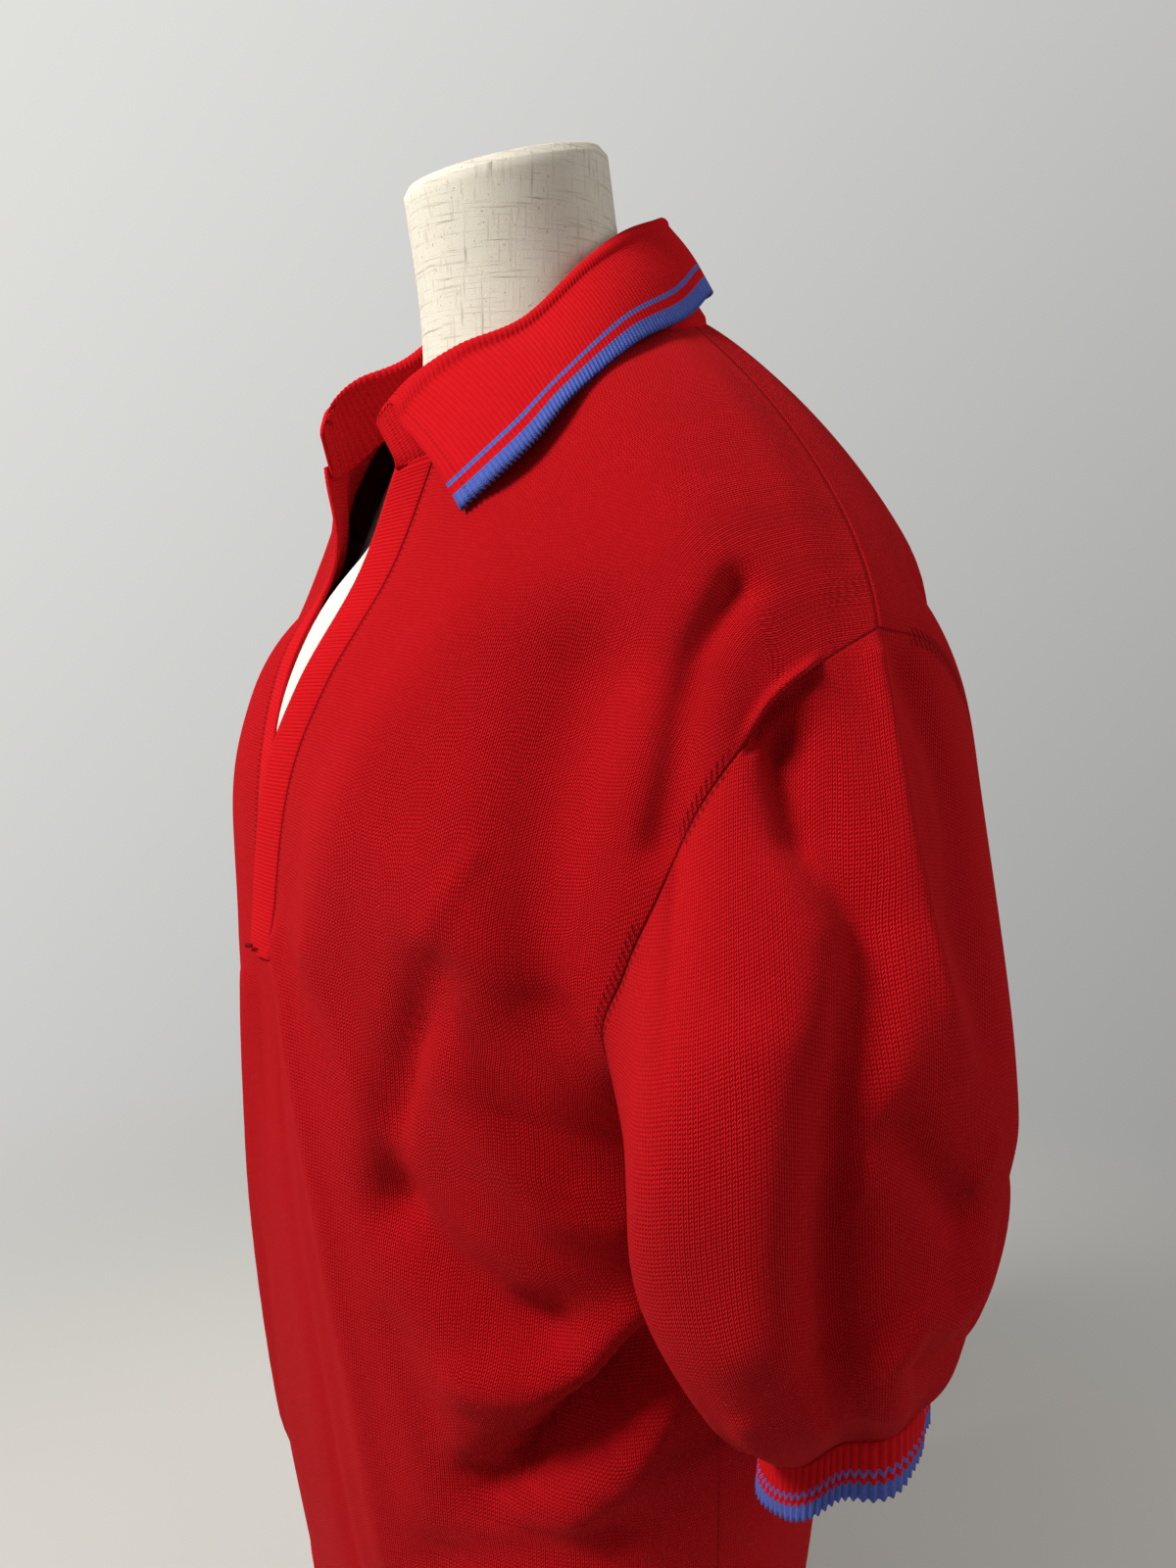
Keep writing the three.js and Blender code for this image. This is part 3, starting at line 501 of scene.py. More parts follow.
def jersey(name, seams):
    """seams: rows of (distance fact, along fact, mask fact, values of the seam group)"""
    material, nodes, shader = new_material(name, 0.9, 0.12, 0.05, RED_NAP)
    stitches = place_group(nodes, stitch_group, Across=nodes.fact("across"), Along=nodes.fact("along"),
                           Wale=WALE_MM, Course=COURSE_MM, Unevenness=0.22)
    # dark is painted shade: in the gaps between stitches and, below, in seam grooves, holes and marks.
    dark = stitches.outputs["Gap"]
    relief = stitches.outputs["Height"]
    for distance, along, mask, values in seams:
        seam = place_group(nodes, seam_group, Distance=nodes.fact(distance),
                           Along=nodes.fact(along), **values)
        sunk = seam.outputs["Dark"]
        if mask:
            sunk = nodes.sum("MULTIPLY", sunk, nodes.fact(mask))
        dark = nodes.sum("MAXIMUM", dark, sunk)
        relief = nodes.sum("ADD", relief, nodes.sum("MULTIPLY", sunk, SEAM_RELIEF))
    coloured_and_shaded = place_group(nodes, yarn_and_shade_group, Colour=RED, Pale=PALE_RED, Deep=SHADED_RED, Amount=0.5,
                      Gap=nodes.sum("MULTIPLY", dark, JERSEY_GAP_SHARE))
    nodes.feed(shader.inputs["Base Color"], coloured_and_shaded.outputs["Colour"])
    bumped(nodes, shader, relief, JERSEY_RELIEF_M, 0.9)
    return material


# A row of holes that lies off the cloth, so that only the groove is left.
NO_ROW = -50.0
PLAIN_SEAM = dict(Pitch=2.4, Row=NO_ROW, Hole=0.4, Groove=0.75)
LADDER_MARKS = dict(Pitch=3.3, Row=2.2, Hole=0.85, Slant=0.55, Length=2.6, Groove=0.0)
EYELETS = dict(Pitch=2.6, Row=2.2, Hole=0.5)
body_jersey = jersey("red_jersey_body", [
    ("from_armhole", "along_armhole", None, PLAIN_SEAM),
    ("from_armhole", "along_armhole", "marks", LADDER_MARKS),
    ("from_slit", "along", None, EYELETS),
    ("from_shoulder", "across", None, PLAIN_SEAM)])
sleeve_jersey = jersey("red_jersey_sleeve", [
    ("from_armhole", "along_armhole", None, PLAIN_SEAM),
    ("from_armhole", "along_armhole", "marks", LADDER_MARKS)])
print("materials:", body_jersey.name, sleeve_jersey.name)

# %% [markdown]
# ## Rib with tipped edges
# Collar and cuffs are a fine rib, and their last rows are knitted in a second yarn: a blue edge, a
# narrow red band and one thin blue line. The meshes carry the distance from the edge, so the colour
# changes where the rows change, and the ribs themselves are real relief with small stitches on top.
# The sunk columns between the ribs and the gaps between stitches are darkened with painted shade.

# %% Rib material
BLUE = (0.070, 0.115, 0.42, 1)
PALE_BLUE = (0.12, 0.18, 0.52, 1)
# A shaded copy of the blue, painted as shade into the hollows of the tipping.
SHADED_BLUE = (0.018, 0.028, 0.14, 1)
RIB_WALE_MM = 1.4
RIB_COURSE_MM = 1.3
RIB_GAP_SHARE = 0.6
RIB_SHADE_START = 0.62
RIB_DARKNESS = 0.55
RIB_RELIEF_M = 0.0004
TIP_SWING_MM = 0.5


def rib(name, edge_width=0.0, line_start=0.0, line_width=0.0, holes=None):
    """holes: the facts for distance and along, and values of the seam group"""
    material, nodes, shader = new_material(name, 0.9, 0.10, 0.05, RED_NAP)
    stitches = place_group(nodes, stitch_group, Across=nodes.fact("across"), Along=nodes.fact("along"),
                           Wale=RIB_WALE_MM, Course=RIB_COURSE_MM, Unevenness=0.2)
    # dark is painted shade: in the gaps between stitches, in the sunk columns between ribs and in the
    # holes at the collar's ends.
    dark = nodes.sum("MULTIPLY", stitches.outputs["Gap"], RIB_GAP_SHARE)
    dark = nodes.sum("MAXIMUM", dark, nodes.sum("SUBTRACT", RIB_SHADE_START, nodes.fact("rib")))
    if holes:
        distance, along, values = holes
        seam = place_group(nodes, seam_group, Distance=nodes.fact(distance),
                           Along=nodes.fact(along), **values)
        dark = nodes.sum("MAXIMUM", dark, seam.outputs["Dark"])
    dark = nodes.sum("MULTIPLY", dark, RIB_DARKNESS)
    coloured_and_shaded = place_group(nodes, yarn_and_shade_group, Colour=RED, Pale=PALE_RED, Deep=SHADED_RED, Amount=0.4, Gap=dark)
    colour = coloured_and_shaded.outputs["Colour"]
    if edge_width:
        tipping = place_group(nodes, yarn_and_shade_group, Colour=BLUE, Pale=PALE_BLUE, Deep=SHADED_BLUE,
                              Amount=0.5, Gap=dark)
        from_edge = nodes.sum("ADD", nodes.fact("from_edge"),
                              nodes.sum("MULTIPLY", nodes.fact("rib"), TIP_SWING_MM))
        edge = nodes.sum("LESS_THAN", from_edge, edge_width)
        line = nodes.sum("MULTIPLY", nodes.sum("GREATER_THAN", from_edge, line_start),
                         nodes.sum("LESS_THAN", from_edge, line_start + line_width))
        colour = nodes.mix_colour(nodes.sum("MAXIMUM", edge, line), colour, tipping.outputs["Colour"])
    nodes.feed(shader.inputs["Base Color"], colour)
    bumped(nodes, shader, stitches.outputs["Height"], RIB_RELIEF_M, 0.7)
    return material


END_HOLES = ("from_end", "from_edge", dict(Pitch=2.3, Row=6.0, Hole=0.5))
collar_rib = rib("tipped_rib_collar", edge_width=7.0, line_start=11.2, line_width=2.2, holes=END_HOLES)
cuff_rib = rib("tipped_rib_cuff", edge_width=7.5, line_start=10.6, line_width=1.8)
band_rib = rib("red_rib_band")
hem_rib_material = rib("red_rib_hem")
print("materials:", collar_rib.name, cuff_rib.name, band_rib.name, hem_rib_material.name)

# %% [markdown]
# ## The body's cut
# Front and back are drawn as halves. Each row of a table is one section across the half: edge is the
# neckline, then the opening, then the middle; side is the armhole, then the side seam; near and far
# are the handles that bend the section between them. Heights count from the neck end of the shoulder.

# %% Body tables
SIDE_SEAM = [(178, -14, -330), (174, -8, -385), (172, -8, -440), (174, -8, -550), (168, -8, -655)]
SHOULDER_SEAM = [(66, 38, 10), (105, 46, -14), (186, 40, -72), (214, 24, -120)]
EDGE, NEAR, FAR, SIDE = range(4)
FRONT_SECTIONS = [
    SHOULDER_SEAM,
    [(69, 8, 2), (118, 6, -8), (196, 8, -72), (215, -5, -133)],
    [(68, -34, -16), (116, -42, -20), (194, -44, -78), (212, -28, -150)],
    [(56, -82, -50), (104, -84, -71), (178, -73, -117), (205, -47, -181)],
    [(50, -101, -100), (98, -113, -121), (168, -96, -165), (198, -60, -215)],
    [(36, -127, -150), (90, -140, -168), (166, -112, -208), (191, -70, -246)],
    [(22, -142, -200), (86, -152, -215), (166, -122, -248), (184, -72, -283)],
    [(11, -149, -278), (96, -156, -285), (178, -96, -322), SIDE_SEAM[0]],
    [(11, -149, -345), (100, -155, -352), (182, -92, -375), SIDE_SEAM[1]],
    [(11, -146, -430), (102, -152, -435), (180, -88, -440), SIDE_SEAM[2]],
    [(11, -136, -550), (100, -141, -550), (180, -84, -550), SIDE_SEAM[3]],
    [(11, -121, -655), (96, -126, -655), (174, -76, -655), SIDE_SEAM[4]],
]
PLACKET_TOP = 3
PLACKET_FOOT = 7
BACK_SECTIONS = [
    SHOULDER_SEAM,
    [(40, 62, 17), (98, 72, -10), (182, 74, -88), (209, 57, -128)],
    [(8, 70, 18), (90, 96, -10), (177, 102, -106), (203, 82, -152)],
    [(8, 92, -20), (86, 112, -36), (171, 113, -131), (200, 96, -185)],
    [(8, 112, -70), (84, 128, -84), (168, 128, -165), (197, 104, -225)],
    [(8, 124, -130), (84, 138, -140), (166, 130, -205), (193, 100, -260)],
    [(8, 128, -200), (84, 140, -206), (172, 120, -262), (187, 68, -298)],
    [(8, 127, -278), (88, 138, -292), (175, 92, -348), SIDE_SEAM[0]],
    [(8, 125, -345), (90, 136, -354), (176, 84, -392), SIDE_SEAM[1]],
    [(8, 124, -430), (92, 134, -435), (180, 82, -440), SIDE_SEAM[2]],
    [(8, 121, -550), (92, 129, -550), (177, 77, -550), SIDE_SEAM[3]],
    [(8, 110, -655), (88, 117, -655), (167, 71, -655), SIDE_SEAM[4]],
]
BACK_NECK = 2
UNDERARM = 7
print("sections in front and back:", len(FRONT_SECTIONS), len(BACK_SECTIONS))

# %% [markdown]
# ## The body's folds
# The large folds are those of the solid model. Finer creases are added to them here: the pull from
# the chest to the underarm, the drag lines towards the side, and a crease down the middle of the
# front from the foot of the opening. Each row is a line, its half widths and its depth.

# %% Body folds
FRONT_LEFT_FOLDS = [
    ([(196, -26, -104), (194, -43, -128), (195, -50, -148), (197, -54, -170), (198, -60, -196)],
     (7, 10), -7),
    ([(164, -74, -138), (163, -85, -170), (166, -92, -198), (170, -95, -227), (174, -92, -260)],
     (26, 24), -15),
    ([(110, -97, -122), (93, -122, -162), (80, -139, -206), (67, -144, -254)], (24, 20), 5),
    ([(132, -121, -256), (112, -124, -294), (100, -127, -328), (97, -125, -365)], (11, 10), -6),
    ([(23, -148, -266), (44, -150, -323), (62, -144, -386), (75, -137, -452), (84, -127, -543)],
     (8, 10), 4),
    ([(130, -114, -298), (140, -100, -322), (155, -80, -350), (167, -58, -358)], (14, 12), 5),
    ([(104, -119, -362), (124, -108, -384), (140, -94, -400), (150, -80, -404)], (16, 12), -12),
    ([(128, -98, -486), (147, -76, -462), (160, -52, -434), (164, -40, -418)], (12, 13), -15),
    ([(130, -108, -434), (149, -88, -432), (159, -68, -423), (164, -48, -398)], (11, 10), 7),
    ([(157, -69, -494), (167, -50, -471), (169, -37, -448)], (13, 12), 6),
    ([(112, -112, -532), (140, -84, -512), (160, -56, -500)], (14, 12), -7),
]
FRONT_RIGHT_FOLDS = [
    ([(60, -84, -66), (66, -100, -98), (104, -92, -104)], (30, 34), -13),
    ([(182, -16, -106), (177, -32, -134), (174, -42, -166), (170, -54, -196)], (13, 13), -8),
    ([(108, -96, -160), (104, -106, -196), (92, -118, -250), (78, -134, -318)], (18, 18), -6),
    ([(30, -150, -300), (40, -148, -380), (58, -140, -470), (74, -126, -570)], (10, 12), 3.5),
    ([(104, -122, -372), (136, -94, -388), (160, -62, -404)], (18, 14), -8),
    ([(122, -104, -478), (150, -70, -448), (170, -34, -410)], (13, 15), -12),
]
BACK_LEFT_FOLDS = [
    ([(176, 82, -108), (170, 100, -150), (160, 112, -200)], (14, 14), -8),
    ([(110, 124, -180), (96, 130, -260), (84, 130, -350)], (18, 18), -5),
    ([(90, 124, -390), (130, 98, -400), (160, 60, -410)], (18, 14), -9),
    ([(110, 112, -500), (140, 88, -470), (166, 44, -430)], (14, 14), -10),
]
BACK_RIGHT_FOLDS = [
    ([(178, 80, -112), (170, 102, -160), (158, 114, -212)], (13, 15), -7),
    ([(104, 126, -200), (92, 130, -290), (74, 130, -380)], (20, 16), -5),
    ([(84, 126, -420), (122, 104, -424), (158, 64, -420)], (16, 16), -8),
    ([(100, 118, -530), (134, 92, -496), (164, 46, -452)], (14, 13), -9),
]
FRONT_LEFT_CREASES = [
    ([(145, -110, -204), (138, -118, -224), (131, -124, -240)], (3.5, 3.5), 1.8),
    ([(119, -122, -276), (112, -124, -300), (106, -125, -324)], (4, 4), -2.4),
    ([(60, -146, -262), (78, -142, -292), (96, -132, -330)], (8, 9), 2.0),
    ([(144, -86, -468), (157, -69, -443), (162, -53, -429), (160, -40, -411)], (6, 6), -8),
    ([(8, -150, -300), (26, -150, -390), (42, -144, -480), (54, -132, -580)], (7, 8), -2.6),
    ([(98, -124, -420), (112, -116, -456), (118, -108, -500)], (9, 10), -3.0),
]
FRONT_RIGHT_CREASES = [
    ([(112, -98, -176), (106, -108, -216), (98, -116, -250)], (5, 5), -2.0),
    ([(96, -126, -400), (128, -106, -416), (152, -74, -430)], (8, 6), 2.2),
    ([(36, -150, -440), (52, -142, -520), (66, -126, -610)], (5, 5), -1.4),
]
BACK_LEFT_CREASES = [
    ([(150, 118, -200), (136, 124, -260), (118, 124, -330)], (8, 9), 2.2),
    ([(120, 108, -430), (146, 84, -440), (166, 48, -440)], (7, 7), 2.4),
    ([(60, 128, -450), (72, 124, -530), (78, 116, -620)], (8, 8), -2.0),
]
BACK_RIGHT_CREASES = [
    ([(152, 118, -190), (140, 126, -250), (124, 126, -310)], (9, 8), 2.0),
    ([(112, 114, -460), (142, 88, -470), (164, 50, -470)], (7, 8), 2.2),
    ([(50, 128, -470), (60, 124, -550), (70, 114, -640)], (9, 8), -2.2),
]
print("front folds:", len(FRONT_LEFT_FOLDS + FRONT_LEFT_CREASES + FRONT_RIGHT_FOLDS + FRONT_RIGHT_CREASES))

# %% [markdown]
# ## Shaping a half panel
# The four rails of a half are the handles of a bent section, sampled finely, and closer together
# near the armhole and the opening, where the seams are. Right halves are made as left ones and
# mirrored, but with folds of their own, because no worn shirt falls the same way on both sides. The
# neckline is pulled back to where it was before the folds, so the collar still meets it.

# %% Half panels
SECTION_ROWS = 12
ARMHOLE_ROWS = UNDERARM * SECTION_ROWS
HALF_COLUMNS = 80
EDGE_CROWDING = 0.09
SEAM_FADE_MM = 22
NECKLINE_FADE_MM = 14


def pulled(grid, axis, last, target, fade_mm=SEAM_FADE_MM):
    """moves the edge of a grid to a target line, fading inwards"""
    lengths = lengths_along(grid, axis)
    edge = np.take(grid, [-1 if last else 0], axis=axis)
    distance = np.take(lengths, [-1], axis=axis) - lengths if last else lengths
    fade = np.exp(-((distance / fade_mm) ** 2))[..., None]
    correction = np.expand_dims(target, axis) - edge
    return grid + correction * fade


def half_panel(table, hand, face, corners, folds):
    rows = np.linspace(0, len(table) - 1, (len(table) - 1) * SECTION_ROWS + 1)
    handles = []
    for column in (EDGE, NEAR, FAR, SIDE):
        stops = {EDGE: corners, SIDE: (UNDERARM,)}.get(column, ())
        handles.append(rail([section[column] for section in table], rows, stops))
    share = np.linspace(0, 1, HALF_COLUMNS + 1)
    share = share - EDGE_CROWDING * np.sin(2 * math.pi * share)
    weights = [(1 - share) ** 3, 3 * share * (1 - share) ** 2, 3 * share ** 2 * (1 - share), share ** 3]
    grid = sum(handle[:, None, :] * weight[None, :, None] for handle, weight in zip(handles, weights))
    neckline = grid[:, 0].copy()
    grid = folded(grid, face, folds)
    kept = softly(np.clip(corners[0] + 1 - rows, 0, 1))[:, None]
    grid = pulled(grid, 1, False, grid[:, 0] + (neckline - grid[:, 0]) * kept, NECKLINE_FADE_MM)
    grid[..., 0] *= hand
    return {"rows": rows, "grid": grid, "side": face * hand, "hand": hand, "face": face}


front_left = half_panel(FRONT_SECTIONS, 1, 1, (PLACKET_TOP, PLACKET_FOOT),
                        FRONT_LEFT_FOLDS + FRONT_LEFT_CREASES)
front_right = half_panel(FRONT_SECTIONS, -1, 1, (PLACKET_TOP, PLACKET_FOOT),
                         FRONT_RIGHT_FOLDS + FRONT_RIGHT_CREASES)
back_left = half_panel(BACK_SECTIONS, 1, -1, (BACK_NECK,), BACK_LEFT_FOLDS + BACK_LEFT_CREASES)
back_right = half_panel(BACK_SECTIONS, -1, -1, (BACK_NECK,), BACK_RIGHT_FOLDS + BACK_RIGHT_CREASES)
print("half panel grid:", front_left["grid"].shape)

# %% [markdown]
# ## Sleeves
# A sleeve is a tube from the armhole to the cuff. Its rings are tilted ovals, each point of the
# armhole is led through them on a smooth line, and the sleeve is drawn in with small waves at the
# cuff. The long trough down the front of the left sleeve runs on down to the cuff.

# %% Sleeve tables
# Each ring: middle, half length, half width, turn of the long axis, and rise of the outer side and
# of the front.
SLEEVE_RINGS = [
    ((228, -3, -300), 84, 44, 0, 50, 6),
    ((231, 1, -352), 86, 46, 4, 16, 0),
    ((228, 12, -398), 74, 43, 18, 10, -6),
    ((222, 18, -428), 50, 32, 40, 13, -10),
]
CUFF_HEIGHT = 24
CUFF_SHIFT = (-2, 2, -CUFF_HEIGHT)
CUFF_SPREAD = 1.5
SLEEVE_ROWS_PER_RING = 28
FIRST_RING_ROWS = 48
ARMHOLE_CROWDING = 1.6
WIDEST_AT = 1.6
lower_rows = (len(SLEEVE_RINGS) - 1) * SLEEVE_ROWS_PER_RING
SLEEVE_AT = np.concatenate([np.linspace(0, 1, FIRST_RING_ROWS + 1) ** ARMHOLE_CROWDING,
                            np.linspace(1, len(SLEEVE_RINGS), lower_rows + 1)[1:]])
GATHER_WAVES = 13
GATHER_DEPTH = 2.6
GATHER_REACH = 26
LEFT_SLEEVE_FOLDS = [
    ([(222, -24, -160), (236, -28, -184)], (14, 14), -7),
    ([(219, 18, -130), (235, 15, -160), (249, 9, -192), (258, 6, -214), (264, 14, -262)], (7, 12), 2.5),
    ([(218, -26, -163), (230, -22, -181), (247, -19, -199), (258, -14, -215), (265, -20, -235),
      (268, -27, -253), (267, -34, -272), (267, -36, -298), (268, -36, -333), (268, -33, -362),
      (246, -10, -412)], (16, 9), -10),
    ([(246, 62, -330), (256, 50, -372), (246, 40, -405)], (12, 10), -6),
    ([(253, -57, -257), (264, -61, -293), (266, -60, -327), (260, -58, -352)], (14, 14), 4),
]
RIGHT_SLEEVE_FOLDS = [
    ([(222, -20, -158), (238, -26, -190)], (14, 14), -6),
    ([(226, 24, -150), (250, 28, -210), (264, 34, -280)], (10, 14), 4.5),
    ([(256, -52, -262), (266, -40, -312), (260, -30, -360), (246, -20, -404)], (15, 13), -11),
    ([(250, 56, -322), (256, 52, -362), (246, 42, -400)], (12, 10), -6),
]
LEFT_SLEEVE_CREASES = [
    ([(220, 35, -138), (230, 42, -163), (242, 42, -190), (258, 30, -222), (264, 34, -262)], (10, 13), -5),
    ([(219, 20, -130), (235, 15, -160), (250, 12, -193), (261, 11, -221), (270, 12, -247)], (4, 4), 1.5),
    ([(277, -11, -288), (278, 3, -306), (275, 21, -325)], (12, 10), -6),
    ([(272, 30, -352), (276, 13, -358), (277, -3, -354), (272, -16, -368), (262, -14, -386)], (12, 9), 6),
    ([(269, -31, -313), (272, -27, -303), (274, -24, -295)], (3.5, 3.5), 2.6),
    ([(272, 26, -312), (270, 36, -301)], (5, 4), 2.6),
    ([(265, -2, -372), (252, 4, -404)], (4, 3), -3.0),
    ([(244, -40, -388), (236, -28, -414)], (4, 3), -3.0),
    ([(250, -52, -384), (240, -40, -408)], (4, 4), 2.6),
]
RIGHT_SLEEVE_CREASES = [
    ([(262, -24, -310), (260, -12, -356), (248, -4, -404)], (5, 5), 2.4),
    ([(272, 4, -336), (274, 18, -304)], (5, 5), 2.0),
    ([(252, 10, -390), (244, 14, -424)], (4, 3), -2.2),
]
print("rings below the armhole:", len(SLEEVE_RINGS))

# %% Sleeve shaping
def ring_points(ring, angles):
    centre, long, wide, turn_degrees, rise, ahead_rise = ring
    yaw = math.radians(turn_degrees)
    across = wide * np.cos(angles + yaw)
    ahead = long * np.sin(angles + yaw)
    x = across * math.cos(yaw) + ahead * math.sin(yaw)
    y = across * math.sin(yaw) - ahead * math.cos(yaw)
    z = rise * x / wide - ahead_rise * y / long
    return np.stack([centre[0] + x, centre[1] + y, centre[2] + z], axis=1)


def side_edge(half, first, last):
    return half["grid"][(half["rows"] >= first) & (half["rows"] <= last), -1]


def armhole_of(front, back):
    down = side_edge(front, 0, UNDERARM)
    up = side_edge(back, 0, UNDERARM)[::-1]
    angles = []
    for start, edge in ((0, down), (math.pi, up)):
        lengths = line_lengths(edge)
        angles.append(start + math.pi * lengths / lengths[-1])
    corner = 0.5 * (down[-1] + up[0])
    shoulder = 0.5 * (down[0] + up[-1])
    points = np.vstack([shoulder, down[1:-1], corner, up[1:-1]])
    return points, np.concatenate([angles[0], angles[1][1:-1]])


def sleeve_grid(armhole, angles, hand, folds):
    start = armhole * [hand, 1, 1]
    stations = np.stack([start] + [ring_points(ring, angles) for ring in SLEEVE_RINGS])
    lines = [smooth_line(stations[:, column], SLEEVE_AT) for column in range(len(angles))]
    grid = np.stack(lines, axis=1)
    grid = folded(grid, -1, folds, closed=True)
    above = (grid[..., 2] - grid[-1, :, 2]) / GATHER_REACH
    wave = GATHER_DEPTH * np.sin(GATHER_WAVES * angles + 0.6 * np.sin(3 * angles))
    lift = wave * above * np.exp(1 - above) * np.exp(-above)
    grid = grid + grid_normals(grid, -1, closed=True) * lift[..., None]
    grid[..., 0] *= hand
    return grid


sides = {
    "left": dict(hand=1, front=front_left, back=back_left, folds=LEFT_SLEEVE_FOLDS + LEFT_SLEEVE_CREASES),
    "right": dict(hand=-1, front=front_right, back=back_right,
                  folds=RIGHT_SLEEVE_FOLDS + RIGHT_SLEEVE_CREASES),
}
for side in sides.values():
    armhole, angles = armhole_of(side["front"], side["back"])
    side["angles"] = angles
    side["sleeve"] = sleeve_grid(armhole, angles, side["hand"], side["folds"])
print("sleeve grid:", sides["left"]["sleeve"].shape)

# %% [markdown]
# ## Closing the seams
# The folds have moved the edges of neighbouring pieces a little apart. Each pair of edges is brought
# to its middle line, and the correction fades out over a few centimetres of cloth, so no jag shows
# beside a seam. A weld would only join the points and leave the jag. High on the front of each armhole
# the body's edge has slipped over the sleeve, and stands up like a rope with a groove below it.

# %% Seam closing
SLIPPED_ROWS = (0.9, 2.4)
SLIP_RAMP_ROWS = 0.35
ROPE_HEIGHT = 3.4
ROPE_FROM_EDGE = 2.4
ROPE_WIDTH = 2.2
GROOVE_DEPTH = 3.4
GROOVE_FROM_EDGE = 3.0
GROOVE_WIDTH = 3.2

for side in sides.values():
    front, back, sleeve = side["front"], side["back"], side["sleeve"]
    count = ARMHOLE_ROWS + 1
    ring = sleeve[0]
    down = ring[:count]
    up = np.vstack([ring[count - 1:], ring[:1]])[::-1]
    front_edge, back_edge = front["grid"][:, -1].copy(), back["grid"][:, -1].copy()
    front_edge[:count] = 0.5 * (front_edge[:count] + down)
    back_edge[:count] = 0.5 * (back_edge[:count] + up)
    seam_line = 0.5 * (front_edge[count - 1:] + back_edge[count - 1:])
    front_edge[count - 1:] = seam_line
    back_edge[count - 1:] = seam_line
    corner = 0.5 * (front_edge[0] + back_edge[0])
    front_edge[0] = back_edge[0] = corner
    front["grid"] = pulled(front["grid"], 1, True, front_edge)
    back["grid"] = pulled(back["grid"], 1, True, back_edge)
    shoulder = 0.5 * (front["grid"][0] + back["grid"][0])
    front["grid"] = pulled(front["grid"], 0, False, shoulder)
    back["grid"] = pulled(back["grid"], 0, False, shoulder)
    new_ring = np.vstack([front["grid"][:count, -1], back["grid"][1:count - 1, -1][::-1]])
    side["sleeve"] = pulled(sleeve, 0, False, new_ring)


def slipped(rows):
    """the stretch of the armhole where the body's edge has slipped over the sleeve"""
    first, last = SLIPPED_ROWS
    rising = np.clip((rows - first) / SLIP_RAMP_ROWS, 0, 1)
    falling = np.clip((last - rows) / SLIP_RAMP_ROWS, 0, 1)
    return softly(rising * falling)


for side in sides.values():
    front, sleeve = side["front"], side["sleeve"]
    across = lengths_along(front["grid"], 1)
    inward = across[:, -1:] - across
    rope = ROPE_HEIGHT * np.exp(-(((inward - ROPE_FROM_EDGE) / ROPE_WIDTH) ** 2))
    rope = rope * slipped(front["rows"])[:, None]
    front["grid"] = front["grid"] + grid_normals(front["grid"], front["side"]) * rope[..., None]
    stretch = np.zeros(sleeve.shape[1])
    stretch[:ARMHOLE_ROWS + 1] = slipped(front["rows"][:ARMHOLE_ROWS + 1])
    below = lengths_along(sleeve, 0)
    sunk = -GROOVE_DEPTH * np.exp(-(((below - GROOVE_FROM_EDGE) / GROOVE_WIDTH) ** 2)) * stretch[None]
    side["sleeve"] = sleeve + grid_normals(sleeve, -side["hand"], closed=True) * sunk[..., None]
print("seams closed on", len(sides), "sides")

# %% [markdown]
# ## What every point of the cloth knows
# Stitches and seams are drawn from lengths measured on the cloth itself: across the wales from the
# middle of the piece, along them from the lowest row, and how far each point is from the armhole,
# the opening and the shoulder seam. They are stored on the mesh as named numbers.

# %% Facts of a panel
FAR_AWAY = 1000.0
# The stretches of the armhole with ladder marks, as rows of the tables.
FRONT_MARKS = [(2.45, 3.5), (4.35, 5.9)]
BACK_MARKS = [(0.45, 1.9), (4.2, 6.0)]
MARK_RAMP_ROWS = 0.15


def marked_stretches(rows, stretches):
    marks = np.zeros(len(rows))
    for first, last in stretches:
        rising = np.clip((rows - first) / MARK_RAMP_ROWS, 0, 1)
        falling = np.clip((last - rows) / MARK_RAMP_ROWS, 0, 1)
        marks = np.maximum(marks, rising * falling)
    return marks


def panel_facts(half, first_slit, last_slit):
    grid, rows = half["grid"], half["rows"]
    across = lengths_along(grid, 1)
    along = lengths_along(grid[::-1], 0)[::-1]
    from_side = across[:, -1:] - across
    at_armhole = (rows <= UNDERARM)[:, None]
    marks = marked_stretches(rows, FRONT_MARKS if half["face"] > 0 else BACK_MARKS)
    at_slit = ((rows >= first_slit) & (rows <= last_slit))[:, None]
    return {
        "across": across + np.abs(grid[:, :1, 0]),
        "along": along,
        "from_armhole": np.where(at_armhole, from_side, FAR_AWAY),
        "along_armhole": np.broadcast_to(line_lengths(grid[:, -1])[:, None], across.shape),
        "marks": np.broadcast_to(marks[:, None], across.shape),
        "from_slit": np.where(at_slit, across, FAR_AWAY),
        "from_shoulder": lengths_along(grid, 0),
    }


def bridge(wall, left, right, first, face):
    """the strip over the middle, between the two halves, from one row down"""
    start = first * SECTION_ROWS
    share = np.linspace(0, 1, BRIDGE_COLUMNS + 1)[1:-1]
    from_left, from_right = left["grid"][start:, :1], right["grid"][start:, :1]
    grid = from_left + (from_right - from_left) * share[None, :, None]
    facts = {key: value[start:, :1] for key, value in left["facts"].items()}
    facts["across"] = np.abs(grid[..., 0])
    numbers = wall.store(grid, facts)
    whole = np.hstack([left["numbers"][start:, :1], numbers, right["numbers"][start:, :1]])
    wall.join(whole, -face)


BRIDGE_COLUMNS = 8
SOFTENED_COLUMNS = 14
SOFTENING_PASSES = 12


